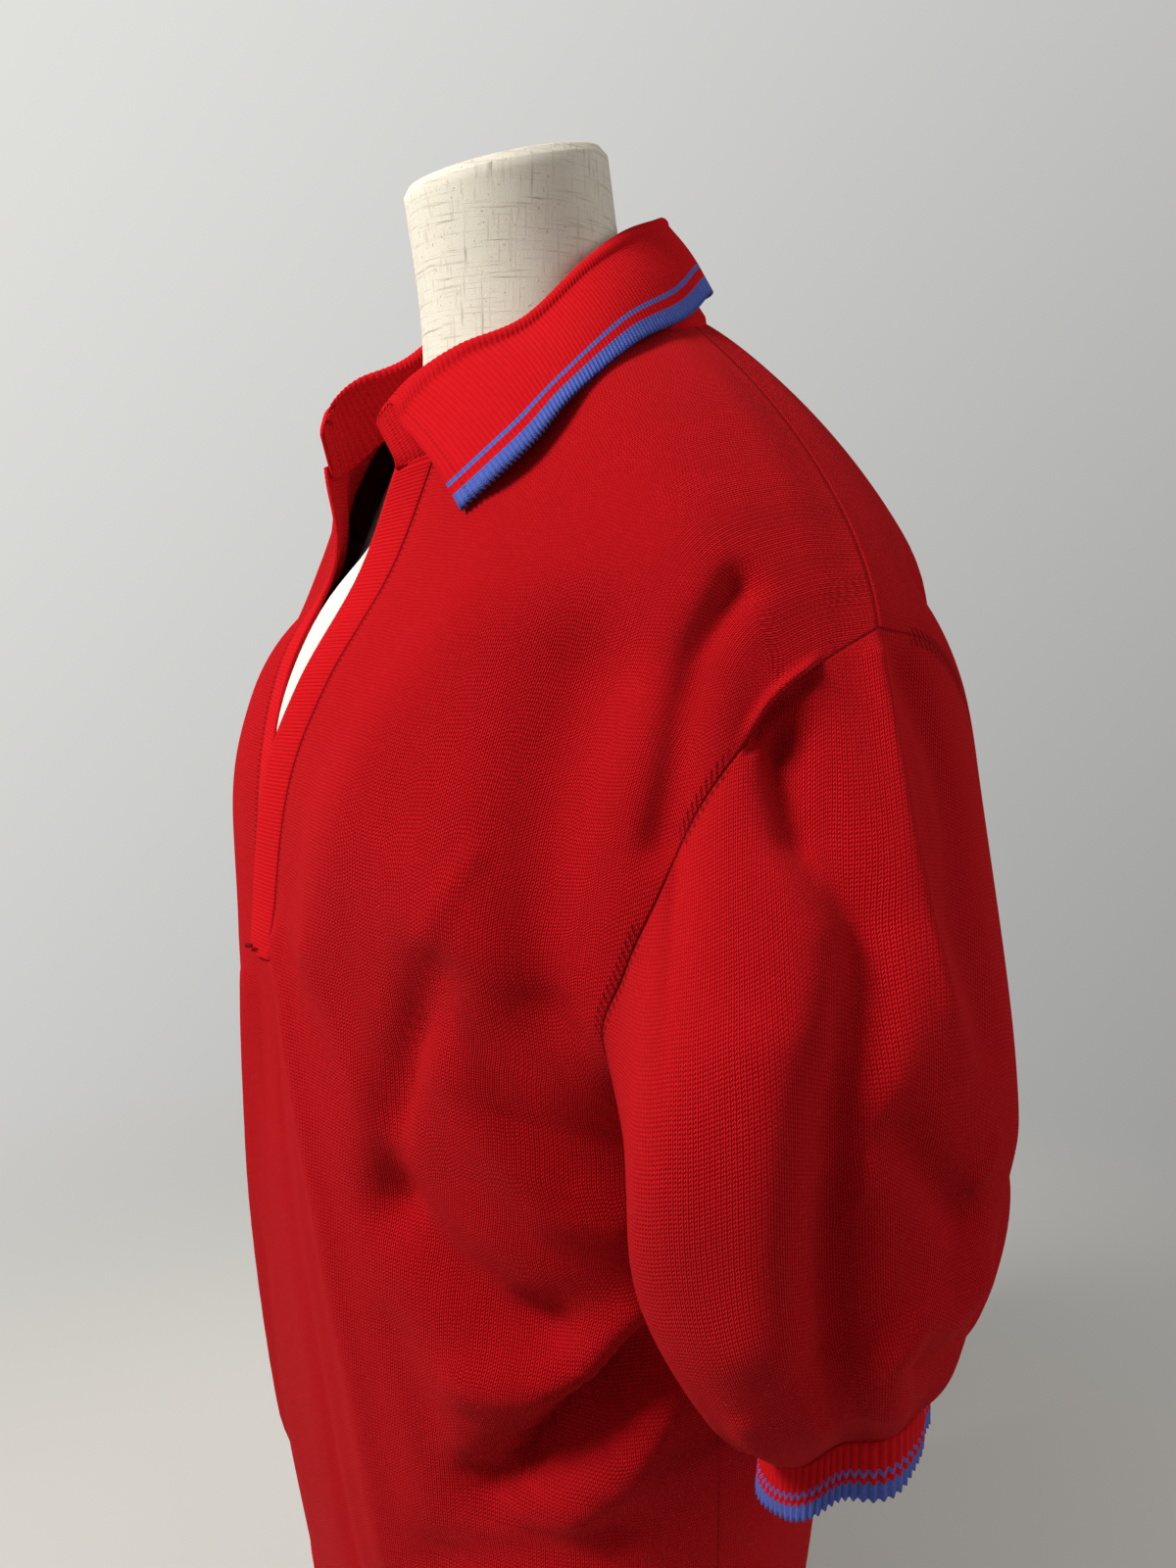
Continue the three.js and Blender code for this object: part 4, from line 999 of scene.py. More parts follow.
def soften_middle(left, right, first):
    """eases the last columns beside the middle into one smooth surface"""
    start = first * SECTION_ROWS
    reach = SOFTENED_COLUMNS
    for _ in range(SOFTENING_PASSES):
        joined = np.concatenate([right["grid"][start:, reach::-1], left["grid"][start:, :reach + 1]],
                                axis=1)
        eased = joined.copy()
        eased[:, 1:-1] = 0.25 * joined[:, :-2] + 0.5 * joined[:, 1:-1] + 0.25 * joined[:, 2:]
        depth = eased[..., 1]
        right["grid"][start:, reach::-1, 1] = depth[:, :reach + 1]
        left["grid"][start:, :reach + 1, 1] = depth[:, reach + 1:]


def body_panel(name, left, right, opening, face, material):
    first_slit, last_slit = opening
    soften_middle(left, right, last_slit)
    wall = Wall()
    for half in (left, right):
        half["facts"] = panel_facts(half, first_slit, last_slit)
        half["numbers"] = wall.add(half["grid"], half["side"], half["facts"])
    bridge(wall, left, right, last_slit, face)
    return wall.finish(name, material)


front = body_panel("shirt_front", front_left, front_right, (PLACKET_TOP, PLACKET_FOOT), 1, body_jersey)
back = body_panel("shirt_back", back_left, back_right, (-1, BACK_NECK), -1, body_jersey)

# %% Sleeves and their facts
def sleeve_piece(name, side):
    grid = np.roll(side["sleeve"], -ARMHOLE_ROWS, axis=1)
    around = ring_lengths(grid[np.searchsorted(SLEEVE_AT, WIDEST_AT)])
    down = lengths_along(grid, 0)
    rows = side["front"]["rows"][:ARMHOLE_ROWS + 1]
    front_marks = marked_stretches(rows, FRONT_MARKS)
    back_marks = marked_stretches(rows, BACK_MARKS)
    marks = np.concatenate([front_marks, back_marks[1:-1][::-1]])
    facts = {
        "across": around[:-1],
        "along": down[-1:] - down,
        "from_armhole": down,
        "along_armhole": ring_lengths(grid[0])[:-1],
        "marks": np.roll(marks, -ARMHOLE_ROWS),
    }
    wall = Wall()
    wall.add(grid, -side["hand"], facts, closed=True)
    print(name, "round the widest row:", round(around[-1]), "mm, columns:", grid.shape[1])
    return wall.finish(name, sleeve_jersey)


sleeves = {key: sleeve_piece(f"sleeve_{key}_knit", side) for key, side in sides.items()}

# %% [markdown]
# ## Cuffs and the rib round the body
# A rib is raised columns with sunk ones between them. The cuff is two rings joined by rows of such
# columns, and towards its free edge the ribs stand higher, so the tipped edge zigzags as the real
# one does. The rib below the body is made the same way, plain, on the body's lowest section.

# %% Rib columns
POINTS_PER_RIB = 6


def rib_wave(phase):
    return 0.5 + 0.5 * np.cos(2 * math.pi * phase)


CUFF_RIBS = 70
CUFF_ROWS = 14
CUFF_RIB_HEIGHT = 0.75
CUFF_SMALL_FLARE = 0.9
CUFF_SMALL_WAVES = 7
CUFF_BROAD_FLARE = 0.7
CUFF_BROAD_WAVES = 3
CUFF_WAVE_START = 0.7
CUFF_ZIGZAG = 1.3
ZIGZAG_POWER = 6


def cuff_piece(name, side):
    grid_above = side["sleeve"]
    count = CUFF_RIBS * POINTS_PER_RIB
    angles_above = np.concatenate([side["angles"], [2 * math.pi]])
    ring = np.vstack([grid_above[-1], grid_above[-1][:1]])
    angles = (np.arange(count) / count * 2 * math.pi + math.pi) % (2 * math.pi)
    top = np.stack([np.interp(angles, angles_above, ring[:, axis]) for axis in range(3)], axis=1)
    middle = top.mean(axis=0)
    shift = np.array(CUFF_SHIFT) * [side["hand"], 1, 1]
    outward = top - middle
    outward[:, 2] = 0
    outward /= np.linalg.norm(outward, axis=1, keepdims=True)
    share = np.linspace(0, 1, CUFF_ROWS + 1)[:, None, None]
    flare = (CUFF_SMALL_FLARE * np.sin(CUFF_SMALL_WAVES * angles + CUFF_WAVE_START)
             + CUFF_BROAD_FLARE * np.sin(CUFF_BROAD_WAVES * angles))
    grid = top[None] + shift * share + outward[None] * (CUFF_SPREAD * share)
    grid = grid + outward[None] * (flare[None, :, None] * share ** 2)
    phase = np.arange(count) / POINTS_PER_RIB
    wave = rib_wave(phase)
    grid[..., 2] -= (wave * CUFF_ZIGZAG)[None, :] * share[..., 0] ** ZIGZAG_POWER
    from_edge = lengths_along(grid[::-1], 0)[::-1]
    facts = {"across": line_lengths(top), "along": from_edge, "from_edge": from_edge, "rib": wave}
    wall = Wall()
    wall.add(grid, -side["hand"], facts, closed=True)
    return wall.finish(name, cuff_rib, ribs=CUFF_RIB_HEIGHT)


cuffs = {key: cuff_piece(f"cuff_{key}_rib", side) for key, side in sides.items()}

HEM_HEIGHT = 46
HEM_ROWS = 10
HEM_NARROWING = 0.04
HEM_RIB_PITCH = 3.4
HEM_RIB_HEIGHT = 0.8


def hem_piece():
    ring = np.vstack([front_right["grid"][-1][::-1], front_left["grid"][-1],
                      back_left["grid"][-1][::-1][1:], back_right["grid"][-1][:-1]])
    lengths = ring_lengths(ring)
    around = lengths[-1]
    rib_count = round(around / HEM_RIB_PITCH)
    at = np.linspace(0, around, rib_count * POINTS_PER_RIB + 1)[:-1]
    closed_ring = np.vstack([ring, ring[:1]])
    top = np.stack([np.interp(at, lengths, closed_ring[:, axis]) for axis in range(3)], axis=1)
    share = np.linspace(0, 1, HEM_ROWS + 1)[:, None, None]
    scale = 1 - HEM_NARROWING * share * [1, 1, 0]
    grid = top[None] * scale - np.array([0, 0, HEM_HEIGHT]) * share
    wave = rib_wave(np.arange(len(at)) / POINTS_PER_RIB)
    from_edge = lengths_along(grid[::-1], 0)[::-1]
    facts = {"across": at, "along": from_edge, "from_edge": from_edge, "rib": wave}
    wall = Wall()
    wall.add(grid, 1, facts, closed=True)
    print("ribs round the body:", rib_count, "over", round(around), "mm")
    return wall.finish("hem_rib_knit", hem_rib_material, ribs=HEM_RIB_HEIGHT)


hem = hem_piece()

# %% [markdown]
# ## Placket bands
# Each side of the opening has a narrow band, knitted sideways, so its ribs cross it. The band starts
# on the panel's edge and runs to its own free edge, which is rounded. At the foot the left band lies
# on the right one, where a short bar of stitches holds both.

# %% Bands
LEFT_BAND_EDGE = [
    (41, -95, -56), (30, -109, -102), (15, -134, -152), (0, -147.4, -201), (-10, -152.8, -278),
]
RIGHT_BAND_EDGE = [
    (43, -99, -56), (27, -101, -98), (15, -129, -150), (0, -143.4, -201), (-10, -145.8, -278),
]
BAND_RIB_PITCH = 1.9
BAND_COLUMNS = 14
BAND_RIB_HEIGHT = 0.35
BAND_ROLL = 0.8
BAND_ROLL_POWER = 0.7
UNDER_COLLAR_MM = 3.0
UNDER_COLLAR_REACH = 6.0
UNDER_COLLAR_ROWS = 8
# How much of the rib's height is lost at the free edge and at the seam, and over what share of the band.
FREE_EDGE_LOSS = 0.7
FREE_EDGE_SHARE = 0.08
SEAM_LOSS = 0.8
SEAM_SHARE = 0.06


def band_piece(name, half, free_edge):
    hand = half["hand"]
    first, last = PLACKET_TOP * SECTION_ROWS, PLACKET_FOOT * SECTION_ROWS
    slit = half["grid"][first:last + 1, 0]
    rows = half["rows"][first:last + 1]
    lengths = line_lengths(slit)
    rib_count = round(lengths[-1] / BAND_RIB_PITCH)
    at = np.linspace(0, lengths[-1], rib_count * POINTS_PER_RIB + 1)
    row_at = np.interp(at, lengths, rows)
    start = np.stack([np.interp(at, lengths, slit[:, axis]) for axis in range(3)], axis=1)
    free = smooth_line(np.array(free_edge, float), row_at - PLACKET_TOP) * [hand, 1, 1]
    share = np.linspace(0, 1, BAND_COLUMNS + 1)
    grid = start[:, None] + (free - start)[:, None] * share[None, :, None]
    upward = grid[0] - grid[UNDER_COLLAR_ROWS]
    upward /= np.linalg.norm(upward, axis=1, keepdims=True)
    under_collar = np.clip(1 - at / UNDER_COLLAR_REACH, 0, 1)[:, None, None]
    grid = grid + upward[None] * (UNDER_COLLAR_MM * under_collar)
    normals = grid_normals(grid, -hand)
    bow = BAND_ROLL * np.sin(math.pi * share) ** BAND_ROLL_POWER
    grid = grid + normals * bow[None, :, None]
    wave = rib_wave(np.arange(len(at)) / POINTS_PER_RIB)
    at_free_edge = np.exp(-(((1 - share) / FREE_EDGE_SHARE) ** 2))
    at_seam = np.exp(-((share / SEAM_SHARE) ** 2))
    smooth_edges = 1 - FREE_EDGE_LOSS * at_free_edge - SEAM_LOSS * at_seam
    across = lengths_along(grid, 1)
    facts = {"across": at[:, None], "along": across, "from_edge": across[:, -1:] - across,
             "rib": wave[:, None] * smooth_edges[None, :]}
    wall = Wall()
    wall.add(grid, -hand, facts)
    return wall.finish(name, band_rib, ribs=BAND_RIB_HEIGHT)


bands = {"left": band_piece("placket_band_left", front_left, LEFT_BAND_EDGE),
         "right": band_piece("placket_band_right", front_right, RIGHT_BAND_EDGE)}

# %% [markdown]
# ## Collar
# The collar is one ribbed strip that stands up round the neck, rolls over and falls outwards. Each
# section goes up the stand, over the roll and down the fall, and its sizes change from the middle of
# the back to the front ends. The outer edge is tipped and zigzags with the ribs.

# %% Collar tables
# Each section: on the neckline, top of the roll, outer edge, radius of the roll.
COLLAR_SECTIONS = [
    ((0, 70, 18), (0, 62, 71), (0, 90, 37), 3.5),
    ((40, 62, 17), (27, 44, 63), (35, 70, 33), 3.5),
    ((66, 38, 10), (48, 14, 50), (70, 34, 13), 4),
    ((69, 8, 2), (60, -14, 32), (94, -8, -5), 4),
    ((68, -34, -16), (65, -46, 5), (111, -48, -31), 4.5),
    ((63, -60, -32), (61, -74, -8), (113, -66, -49), 5),
    ((54, -82, -49), (51, -90, -20), (106, -78, -62), 6),
    ((41, -95.5, -55), (40, -98, -31), (92, -89, -76), 8),
]
# On the right side the last sections of the fall swing further back.
RIGHT_COLLAR_EDGES = {5: (114, -56, -42), 6: (110, -58, -44), 7: (104, -60, -45)}
COLLAR_LIFT = 0.7
FALL_BOW = 1.5
SEAM_EDGE_MM = 5.0
SEAM_EDGE_POINTS = 3
STAND_POINTS = 7
ROLL_POINTS = 9
FALL_POINTS = 18
MEASURING_POINTS = 900
COLLAR_RIB_PITCH = 2.3
COLLAR_RIB_HEIGHT = 0.42
COLLAR_ZIGZAG = 1.3
OUTER_EDGE_MM = 5.0
# The ribs stand lower on the fall than at the outer edge, and sink at the two ends.
FALL_RIBS = 0.75
EDGE_RIBS_MORE = 1.1
END_LOSS = 0.85
END_FADE_MM = 2.5
print("collar sections on each side:", len(COLLAR_SECTIONS))

# %% Collar shaping
def whole_collar_table():
    """sections from the right front end round the back to the left one, as rows of numbers"""
    left = [(*base, *fold, *edge, roll) for base, fold, edge, roll in COLLAR_SECTIONS]
    right = []
    for number, (base, fold, edge, roll) in enumerate(COLLAR_SECTIONS[1:], start=1):
        edge = RIGHT_COLLAR_EDGES.get(number, edge)
        right.append((-base[0], *base[1:], -fold[0], *fold[1:], -edge[0], *edge[1:], roll))
    return np.array(right[::-1] + left, float)


def collar_piece():
    table = whole_collar_table()
    fine = np.linspace(0, len(table) - 1, MEASURING_POINTS)
    shaped = smooth_line(table, fine)
    middle_line = 0.5 * (shaped[:, 3:6] + shaped[:, 6:9])
    lengths = line_lengths(middle_line)
    rib_count = round(lengths[-1] / COLLAR_RIB_PITCH)
    steps = rib_count * POINTS_PER_RIB
    at = np.interp(np.linspace(0, lengths[-1], steps + 1), lengths, fine)
    shaped = smooth_line(table, at)
    base, fold, edge = shaped[:, :3], shaped[:, 3:6], shaped[:, 6:9]
    roll = np.interp(at, np.arange(len(table)), table[:, 9])[:, None]
    base = base + [0, 0, COLLAR_LIFT]
    out = (edge - fold) * [1, 1, 0]
    out /= np.linalg.norm(out, axis=1, keepdims=True)
    up = np.array([0, 0, 1.0])
    centre = fold - up * roll
    inside, outside = centre - out * roll, centre + out * roll
    rise = (inside - base) / np.linalg.norm(inside - base, axis=1, keepdims=True)
    hidden = base - rise * SEAM_EDGE_MM - out * (0.5 * SEAM_EDGE_MM)
    points = [hidden + (base - hidden) * t for t in np.arange(SEAM_EDGE_POINTS) / SEAM_EDGE_POINTS]
    points += [base + (inside - base) * t for t in np.arange(STAND_POINTS) / STAND_POINTS]
    for t in np.linspace(0, 1, ROLL_POINTS + 1):
        turn_angle = math.pi * (1 - t)
        points.append(centre + out * roll * math.cos(turn_angle) + up * roll * math.sin(turn_angle))
    for t in np.linspace(0, 1, FALL_POINTS + 1)[1:]:
        bow = FALL_BOW * math.sin(math.pi * t)
        points.append(outside + (edge - outside) * t + (up + out) * bow)
    return np.stack(points), float(lengths[-1])


collar_grid, collar_length = collar_piece()
columns = collar_grid.shape[1]
from_edge = lengths_along(collar_grid[::-1], 0)[::-1]
number = np.arange(columns)
wave = rib_wave(number / POINTS_PER_RIB)
column_step = collar_length / (columns - 1)
from_end = np.minimum(number, columns - 1 - number) * column_step
edge_share = np.exp(-((from_edge / OUTER_EDGE_MM) ** 2))
outer_way = collar_grid[-1] - collar_grid[-2]
outer_way /= np.linalg.norm(outer_way, axis=1, keepdims=True)
collar_grid = collar_grid + outer_way[None] * (wave[None] * edge_share * COLLAR_ZIGZAG)[..., None]
near_end = np.exp(-((from_end / END_FADE_MM) ** 2))
rib_strength = (FALL_RIBS + EDGE_RIBS_MORE * edge_share) * (1 - END_LOSS * near_end)[None]
collar_wall = Wall()
collar_wall.add(collar_grid, -1, {
    "across": number * column_step, "along": from_edge, "from_edge": from_edge,
    "from_end": from_end, "rib": wave[None] * rib_strength})
collar = collar_wall.finish("collar_rib_knit", collar_rib, ribs=COLLAR_RIB_HEIGHT)
print("collar along its middle:", round(collar_length), "mm")

# %% [markdown]
# ## The dress form
# The form is a smooth torso under canvas with a linen cover on the neck, on a steel pole and a round
# foot. All four are turned or lofted: rings of points joined from below to above, closed at the ends.

# %% Lofted rings
FORM_SIDES = 128
STAND_SIDES = 96
POLE_SIDES = 64
TORSO_BOTTOM = -714
CHEST_WIDTH = 42
TORSO_STEPS = 6
# Each level: height, half width, where along Y it is widest, reach to the front and to the back,
# and how much further the middle of the chest comes forward.
TORSO_LEVELS = [
    (TORSO_BOTTOM, 146, 0, 100, 96, 0), (-650, 152, 0, 104, 99, 0), (-560, 156, 0, 110, 104, 0),
    (-460, 138, 0, 106, 96, 0), (-380, 124, 0, 100, 84, 0), (-290, 142, 0, 122, 96, 4),
    (-240, 153, 0, 130, 103, 9), (-200, 161, 4, 127, 105, 14), (-160, 169, 8, 114, 103, 20),
    (-120, 175, 12, 91, 97, 24), (-88, 178, 15, 74, 88, 12), (-64, 166, 15, 64, 79, 2),
    (-42, 137, 15, 57, 71, 0), (-26, 112, 15, 52, 65, 0), (-14, 78, 10, 53, 58, 0),
]
# Each ring: middle, half width, half depth, how much its back is raised.
NECK_LEVELS = [
    ((0, -7, -13.7), 60, 53, 0), ((0, -9, 4), 55, 51, 3), ((0, -15, 36), 50, 48, 7),
    ((0, -22, 78), 49, 47, 11), ((0, -23, 82), 46, 44, 11),
]
NECK_CORNER = 3
NECK_STEPS = 30
NECK_ROUNDING_STEPS = 6


def loft(name, rings, material):
    rings = np.asarray(rings)
    count, sides_round = rings.shape[:2]
    vertices = np.vstack([rings.reshape(-1, 3), rings[0].mean(axis=0), rings[-1].mean(axis=0)])
    faces = []
    for ring in range(count - 1):
        for side_number in range(sides_round):
            after = (side_number + 1) % sides_round
            a, b = ring * sides_round + side_number, ring * sides_round + after
            faces.append((a, b, b + sides_round, a + sides_round))
    bottom, top = count * sides_round, count * sides_round + 1
    last = (count - 1) * sides_round
    for side_number in range(sides_round):
        after = (side_number + 1) % sides_round
        faces.append((bottom, after, side_number))
        faces.append((top, last + side_number, last + after))
    world = (vertices + [0, 0, SHOULDER_HEIGHT]) * MM
    return new_object(name, world, faces, {}, material)


def torso_rings():
    spans = len(TORSO_LEVELS) - 1
    at = np.linspace(0, spans, spans * TORSO_STEPS + 1)
    levels = smooth_line(np.array(TORSO_LEVELS, float), at)
    angle = np.linspace(0, 2 * math.pi, FORM_SIDES, endpoint=False)
    rings = []
    for z, half, widest, front_reach, back_reach, chest in levels:
        behind = np.sin(angle) > 0
        x = half * np.cos(angle)
        depth = np.where(behind, back_reach - widest, front_reach + widest)
        bulge = np.where(behind, 0, chest * np.exp(-((x / CHEST_WIDTH) ** 2)))
        y = widest + depth * np.sin(angle) - bulge
        rings.append(np.stack([x, y, np.full(FORM_SIDES, z)], axis=1))
    return rings


def neck_rings():
    table = np.array([(*centre, half, depth, lift) for centre, half, depth, lift in NECK_LEVELS], float)
    rounding_at = np.linspace(NECK_CORNER, NECK_CORNER + 1, NECK_ROUNDING_STEPS + 1)
    at = np.concatenate([np.linspace(0, NECK_CORNER, NECK_STEPS + 1), rounding_at[1:]])
    levels = rail(table, at, (NECK_CORNER,))
    angle = np.linspace(0, 2 * math.pi, FORM_SIDES, endpoint=False)
    rings = []
    for x, y, z, half, depth, lift in levels:
        rings.append(np.stack([x + half * np.cos(angle), y + depth * np.sin(angle),
                               z + lift * np.sin(angle)], axis=1))
    return rings


def turned_rings(profile, sides_round):
    angle = np.linspace(0, 2 * math.pi, sides_round, endpoint=False)
    return [np.stack([r * np.cos(angle), r * np.sin(angle), np.full(sides_round, z - SHOULDER_HEIGHT)],
                     axis=1) for r, z in profile]


# %% [markdown]
# ## Linen, canvas and paint
# Linen yarn is uneven: thick slubs and darker specks run along both directions of the weave. Two
# stretched noises, one for each direction, give those streaks. The canvas of the chest is the same
# group with a much finer, paler weave. The stand has a satin paint with a faint orange-peel skin.

# %% Woven group and form materials
LEVEL_SLUBS = (38, 38, 900)
UPRIGHT_SLUBS = (620, 620, 26)
SPECK_SCALE = 520.0
SPECK_SHARE = 0.8
STREAK_RELIEF = 0.5
ORANGE_PEEL_SCALE = 900.0
DUST_SCALE = 14.0
DUST_SHARE = 0.5
DUST_DULLING = 0.88

woven_group, nodes, start, end = new_group(
    "slubbed weave",
    [("Pale", COLOUR, (0.8, 0.78, 0.7, 1)), ("Dark", COLOUR, (0.5, 0.4, 0.3, 1)),
     ("Streaks", FLOAT, 1.0), ("Thread", FLOAT, 1500.0)],
    [("Colour", COLOUR), ("Height", FLOAT)])
position = nodes.add("ShaderNodeTexCoord").outputs["Object"]
level_slubs = nodes.noise(nodes.mapped(position, LEVEL_SLUBS), 1.0, 3.0, 0.6)
upright_slubs = nodes.noise(nodes.mapped(position, UPRIGHT_SLUBS), 1.0, 3.0, 0.6)
level_streak = nodes.soft_step(level_slubs, 0.52, 0.80)
upright_streak = nodes.soft_step(upright_slubs, 0.53, 0.82)
specks = nodes.soft_step(nodes.noise(position, SPECK_SCALE, 1.0), 0.66, 0.80)
streaks = nodes.sum("MAXIMUM", nodes.sum("MAXIMUM", level_streak, upright_streak),
                    nodes.sum("MULTIPLY", specks, SPECK_SHARE))
streaks = nodes.sum("MULTIPLY", streaks, start.outputs["Streaks"])
colour = nodes.mix_colour(streaks, start.outputs["Pale"], start.outputs["Dark"])
threads = nodes.noise(position, start.outputs["Thread"], 2.0, 0.6)
nodes.feed(end.inputs["Colour"], colour)
raised = nodes.sum("MULTIPLY", streaks, STREAK_RELIEF)
nodes.feed(end.inputs["Height"], nodes.sum("ADD", raised, threads))


def woven(name, pale, dark, streaks, thread, depth_m):
    material, nodes, shader = new_material(name, 0.92, 0.04)
    cloth = place_group(nodes, woven_group, Pale=pale, Dark=dark, Streaks=streaks, Thread=thread)
    nodes.feed(shader.inputs["Base Color"], cloth.outputs["Colour"])
    bumped(nodes, shader, cloth.outputs["Height"], depth_m, 0.6)
    return material


def painted_steel(name, colour):
    material, nodes, shader = new_material(name, 0.42, 0.0)
    shader.inputs["Coat Weight"].default_value = 0.2
    position = nodes.add("ShaderNodeTexCoord").outputs["Object"]
    skin = nodes.noise(position, ORANGE_PEEL_SCALE, 2.0)
    dust = nodes.soft_step(nodes.noise(position, DUST_SCALE, 4.0), 0.4, 0.8)
    dusty = nodes.sum("MULTIPLY", dust, DUST_SHARE)
    dull = tuple(DUST_DULLING * value for value in colour[:3]) + (1,)
    nodes.feed(shader.inputs["Base Color"], nodes.mix_colour(dusty, colour, dull))
    bumped(nodes, shader, skin, 0.0001, 0.3)
    return material


linen = woven("slubbed_linen", (0.62, 0.58, 0.49, 1), (0.26, 0.20, 0.13, 1), 0.75, 2400.0, 0.0004)
canvas = woven("white_canvas", (0.58, 0.57, 0.53, 1), (0.36, 0.33, 0.26, 1), 0.12, 3200.0, 0.0002)
paint = painted_steel("satin_white_paint", (0.70, 0.70, 0.68, 1))

form_torso = loft("form_torso_canvas", torso_rings(), canvas)
form_neck = loft("form_neck_linen", neck_rings(), linen)
POLE_RADIUS = 14
BASE_RADIUS = 140
BASE_THICKNESS = 20
BASE_ROUNDING = 5
BASE_BEVEL = 1
BASE_INNER_RING = 40
ROUNDING_POINTS = 9
POLE_GAP = 0.3
pole_top = SHOULDER_HEIGHT + TORSO_BOTTOM - POLE_GAP
pole = loft("stand_pole_tube", turned_rings(
    [(POLE_RADIUS, BASE_THICKNESS + POLE_GAP), (POLE_RADIUS, pole_top)], POLE_SIDES), paint)
rounding = [(BASE_RADIUS - BASE_ROUNDING * (1 - math.cos(a)),
             BASE_THICKNESS - BASE_ROUNDING * (1 - math.sin(a)))
            for a in np.linspace(0, math.pi / 2, ROUNDING_POINTS)]
foot = loft("stand_foot_disc", turned_rings(
    [(BASE_RADIUS - BASE_BEVEL, 0), (BASE_RADIUS, BASE_BEVEL), *rounding,
     (BASE_INNER_RING, BASE_THICKNESS)], STAND_SIDES), paint)

# %% [markdown]
# ## Small sewn details
# A short bar of close stitches holds the two bands at the foot of the opening. It is a small padded
# bar laid on the left band. Each stitch is a short rounded thread beside the next.

# %% Bar tack
TACK_START = (0, -154.5, -273)
TACK_END = (-8, -155.4, -275)
TACK_STITCHES = 8
THREAD_RADIUS = 0.6
THREAD_REACH = 1.1
THREAD_CORNERS = 8
THREAD_SEGMENTS = 6
THREAD_END = 0.04
TWIST_SCALE = 1800.0
THREAD_SHADE = 0.45


def thread_bar(name, start, end, normal, material):
    start, end, normal = (np.array(v, float) for v in (start, end, normal))
    normal /= np.linalg.norm(normal)
    along = (end - start) / np.linalg.norm(end - start)
    across = np.cross(normal, along)
    vertices, faces = [], []
    corners, segments = THREAD_CORNERS, THREAD_SEGMENTS
    for stitch in range(TACK_STITCHES):
        middle = start + (end - start) * (stitch + 0.5) / TACK_STITCHES
        first = len(vertices)
        for segment in range(segments + 1):
            t = segment / segments * 2 - 1
            size = THREAD_RADIUS * math.sqrt(max(1 - t * t, THREAD_END))
            centre = middle + across * THREAD_REACH * t
            for corner in range(corners):
                a = corner / corners * 2 * math.pi
                vertices.append(centre + (along * math.cos(a) + normal * math.sin(a)) * size)
        for segment in range(segments):
            for corner in range(corners):
                after = (corner + 1) % corners
                a, b = first + segment * corners + corner, first + segment * corners + after
                faces.append((a, b, b + corners, a + corners))
        faces.append(tuple(first + corner for corner in reversed(range(corners))))
        faces.append(tuple(first + segments * corners + corner for corner in range(corners)))
    world = (np.array(vertices) + [0, 0, SHOULDER_HEIGHT]) * MM
    return new_object(name, world, faces, {}, material)


def thread(name, colour):
    material, nodes, shader = new_material(name, 0.8, 0.0, 0.05)
    position = nodes.add("ShaderNodeTexCoord").outputs["Object"]
    twist = nodes.noise(position, TWIST_SCALE, 2.0)
    # The darker copy goes where the twist sinks: painted shade in the thread's grooves.
    dark = tuple(THREAD_SHADE * value for value in colour[:3]) + (1,)
    nodes.feed(shader.inputs["Base Color"], nodes.mix_colour(twist, dark, colour))
    bumped(nodes, shader, twist, 0.0002, 0.6)
    return material


tack_thread = thread("dark_red_thread", (0.22, 0.004, 0.01, 1))
bar_tack = thread_bar("bar_tack", TACK_START, TACK_END, (0, -1, 0), tack_thread)

# %% [markdown]
# ## Riding and replacing
# The part has no joints, so every piece rides on its one body. Each piece but the bar tack stands for
# its own solid, which is hidden. The bar tack is an extra.

# %% Frame calls
parts = [
    (front, "front", "red_knit"), (back, "back", "red_knit"),
    (sleeves["left"], "sleeve_left", "red_knit"), (sleeves["right"], "sleeve_right", "red_knit"),
    (cuffs["left"], "cuff_left", "blue_edged_rib"), (cuffs["right"], "cuff_right", "blue_edged_rib"),
    (bands["left"], "band_left", "red_rib"), (bands["right"], "band_right", "red_rib"),
    (collar, "collar", "blue_edged_rib"), (hem, "hem_rib", "red_rib"),
    (form_torso, "form_torso", "canvas"), (form_neck, "form_neck", "linen"),
    (pole, "stand_pole", "painted_steel"), (foot, "stand_base", "painted_steel"),
]
for piece, node, slot in parts:
    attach(piece, "root")
    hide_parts(node)
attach(bar_tack, "root")

print("pieces riding:", len(parts) + 1)

# %% [markdown]
# ## Floor and light
# The backdrop is only a pale floor that fades into a pale world, so no edge of it shows from any
# side. One soft light stands high in front of the shirt, a much weaker one behind it, and a dim room
# gives the rest, so shadows stay soft and the red keeps its depth in the folds.

# %% Stage
FLOOR_RADIUS = 1.3
FLOOR_DROP = 0.0005
FADE_START = 0.45
FADE_END = FLOOR_RADIUS - 0.05
bpy.ops.mesh.primitive_circle_add(vertices=96, radius=FLOOR_RADIUS, fill_type="NGON",
                                  location=(0, 0, -FLOOR_DROP))
floor = bpy.context.object
floor.name = "floor"
floor_material = bpy.data.materials.new("pale_floor")
floor_material.use_nodes = True
nodes = Nodes(floor_material.node_tree)
shader = floor_material.node_tree.nodes["Principled BSDF"]
shader.inputs["Roughness"].default_value = 0.9
shader.inputs["Specular IOR Level"].default_value = 0.1
position = nodes.add("ShaderNodeTexCoord").outputs["Object"]
cloudy = nodes.noise(position, 1.2, 2.0)
nodes.feed(shader.inputs["Base Color"],
           nodes.mix_colour(cloudy, (0.60, 0.59, 0.56, 1), (0.66, 0.65, 0.62, 1)))
reach = nodes.add("ShaderNodeVectorMath", operation="LENGTH")
nodes.feed(reach.inputs[0], position)
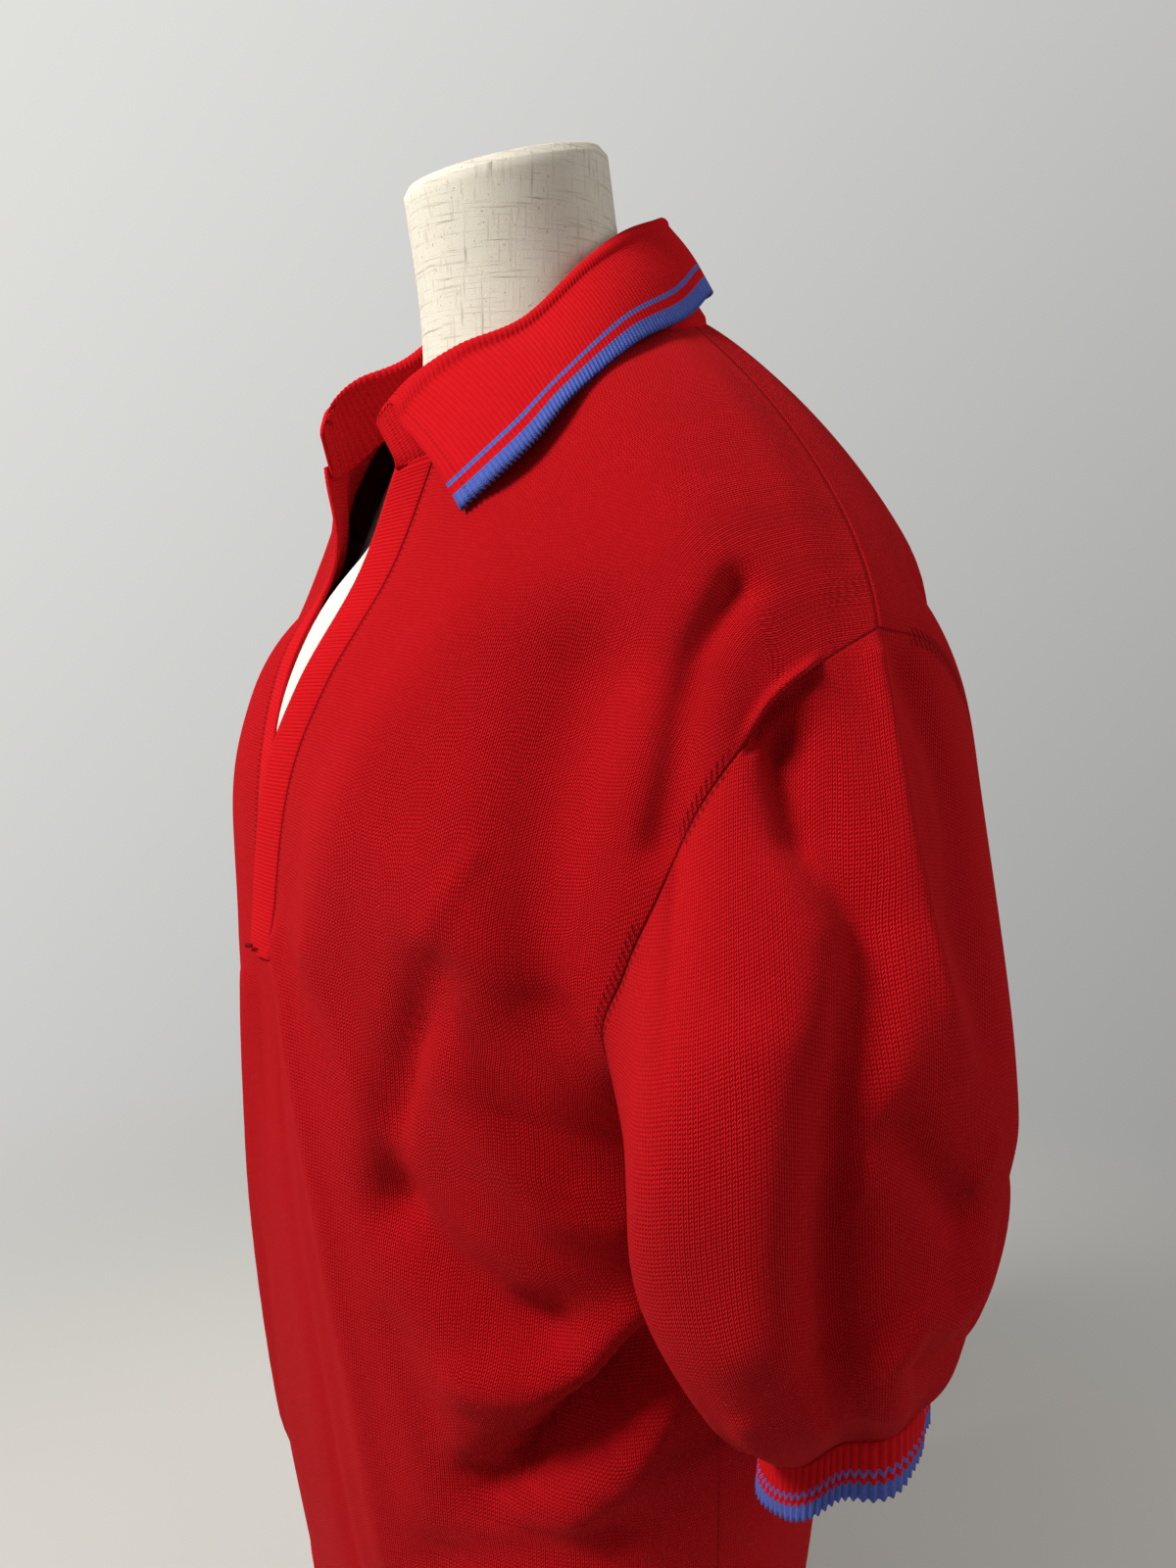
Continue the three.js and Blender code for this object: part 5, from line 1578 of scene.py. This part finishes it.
faded = nodes.soft_step(reach.outputs["Value"], FADE_START, FADE_END)
nodes.feed(shader.inputs["Alpha"], nodes.sum("SUBTRACT", 1.0, faded))
floor.data.materials.append(floor_material)

# What the camera sees of the room is pale, with painted shade falling off to the lower right; its light is
# dimmer.
SEEN_LEVEL = 0.56
SEEN_SLOPE = (-0.153, -0.265, 0.23)
LIGHT_LEVEL = 0.21
LIGHT_SLOPE = (-0.05, -0.10, 0.10)
world = bpy.data.worlds.new("pale_room")
bpy.context.scene.world = world
world.use_nodes = True
nodes = Nodes(world.node_tree)
background = world.node_tree.nodes["Background"]
background.inputs["Color"].default_value = (1.0, 0.995, 0.97, 1)
way = nodes.add("ShaderNodeTexCoord").outputs["Generated"]


def sloped(level, slope):
    dot = nodes.add("ShaderNodeVectorMath", operation="DOT_PRODUCT")
    nodes.feed(dot.inputs[0], way)
    dot.inputs[1].default_value = slope
    return nodes.sum("ADD", dot.outputs["Value"], level)


seen = nodes.add("ShaderNodeLightPath").outputs["Is Camera Ray"]
strength = nodes.add("ShaderNodeMix", data_type="FLOAT")
nodes.feed(strength.inputs[0], seen)
nodes.feed(strength.inputs[2], sloped(LIGHT_LEVEL, LIGHT_SLOPE))
nodes.feed(strength.inputs[3], sloped(SEEN_LEVEL, SEEN_SLOPE))
nodes.feed(background.inputs["Strength"], strength.outputs[0])
bpy.context.scene.view_settings.view_transform = "Standard"


def area_light(name, place, aim, size, power, colour):
    data = bpy.data.lights.new(name, "AREA")
    data.shape = "RECTANGLE"
    data.size, data.size_y = size
    data.energy = power
    data.color = colour
    lamp = bpy.data.objects.new(name, data)
    lamp.location = place
    towards = Vector(aim) - Vector(place)
    lamp.rotation_euler = towards.to_track_quat("-Z", "Y").to_euler()
    bpy.context.scene.collection.objects.link(lamp)


area_light("high_window", (-0.12, -1.24, 1.66), (0.05, 0, 0.60), (0.45, 0.45), 38, (1.0, 0.985, 0.955))
area_light("soft_fill", (1.3, 1.3, 1.4), (0.2, 0, 0.45), (1.6, 1.6), 18, (1.0, 0.99, 0.97))
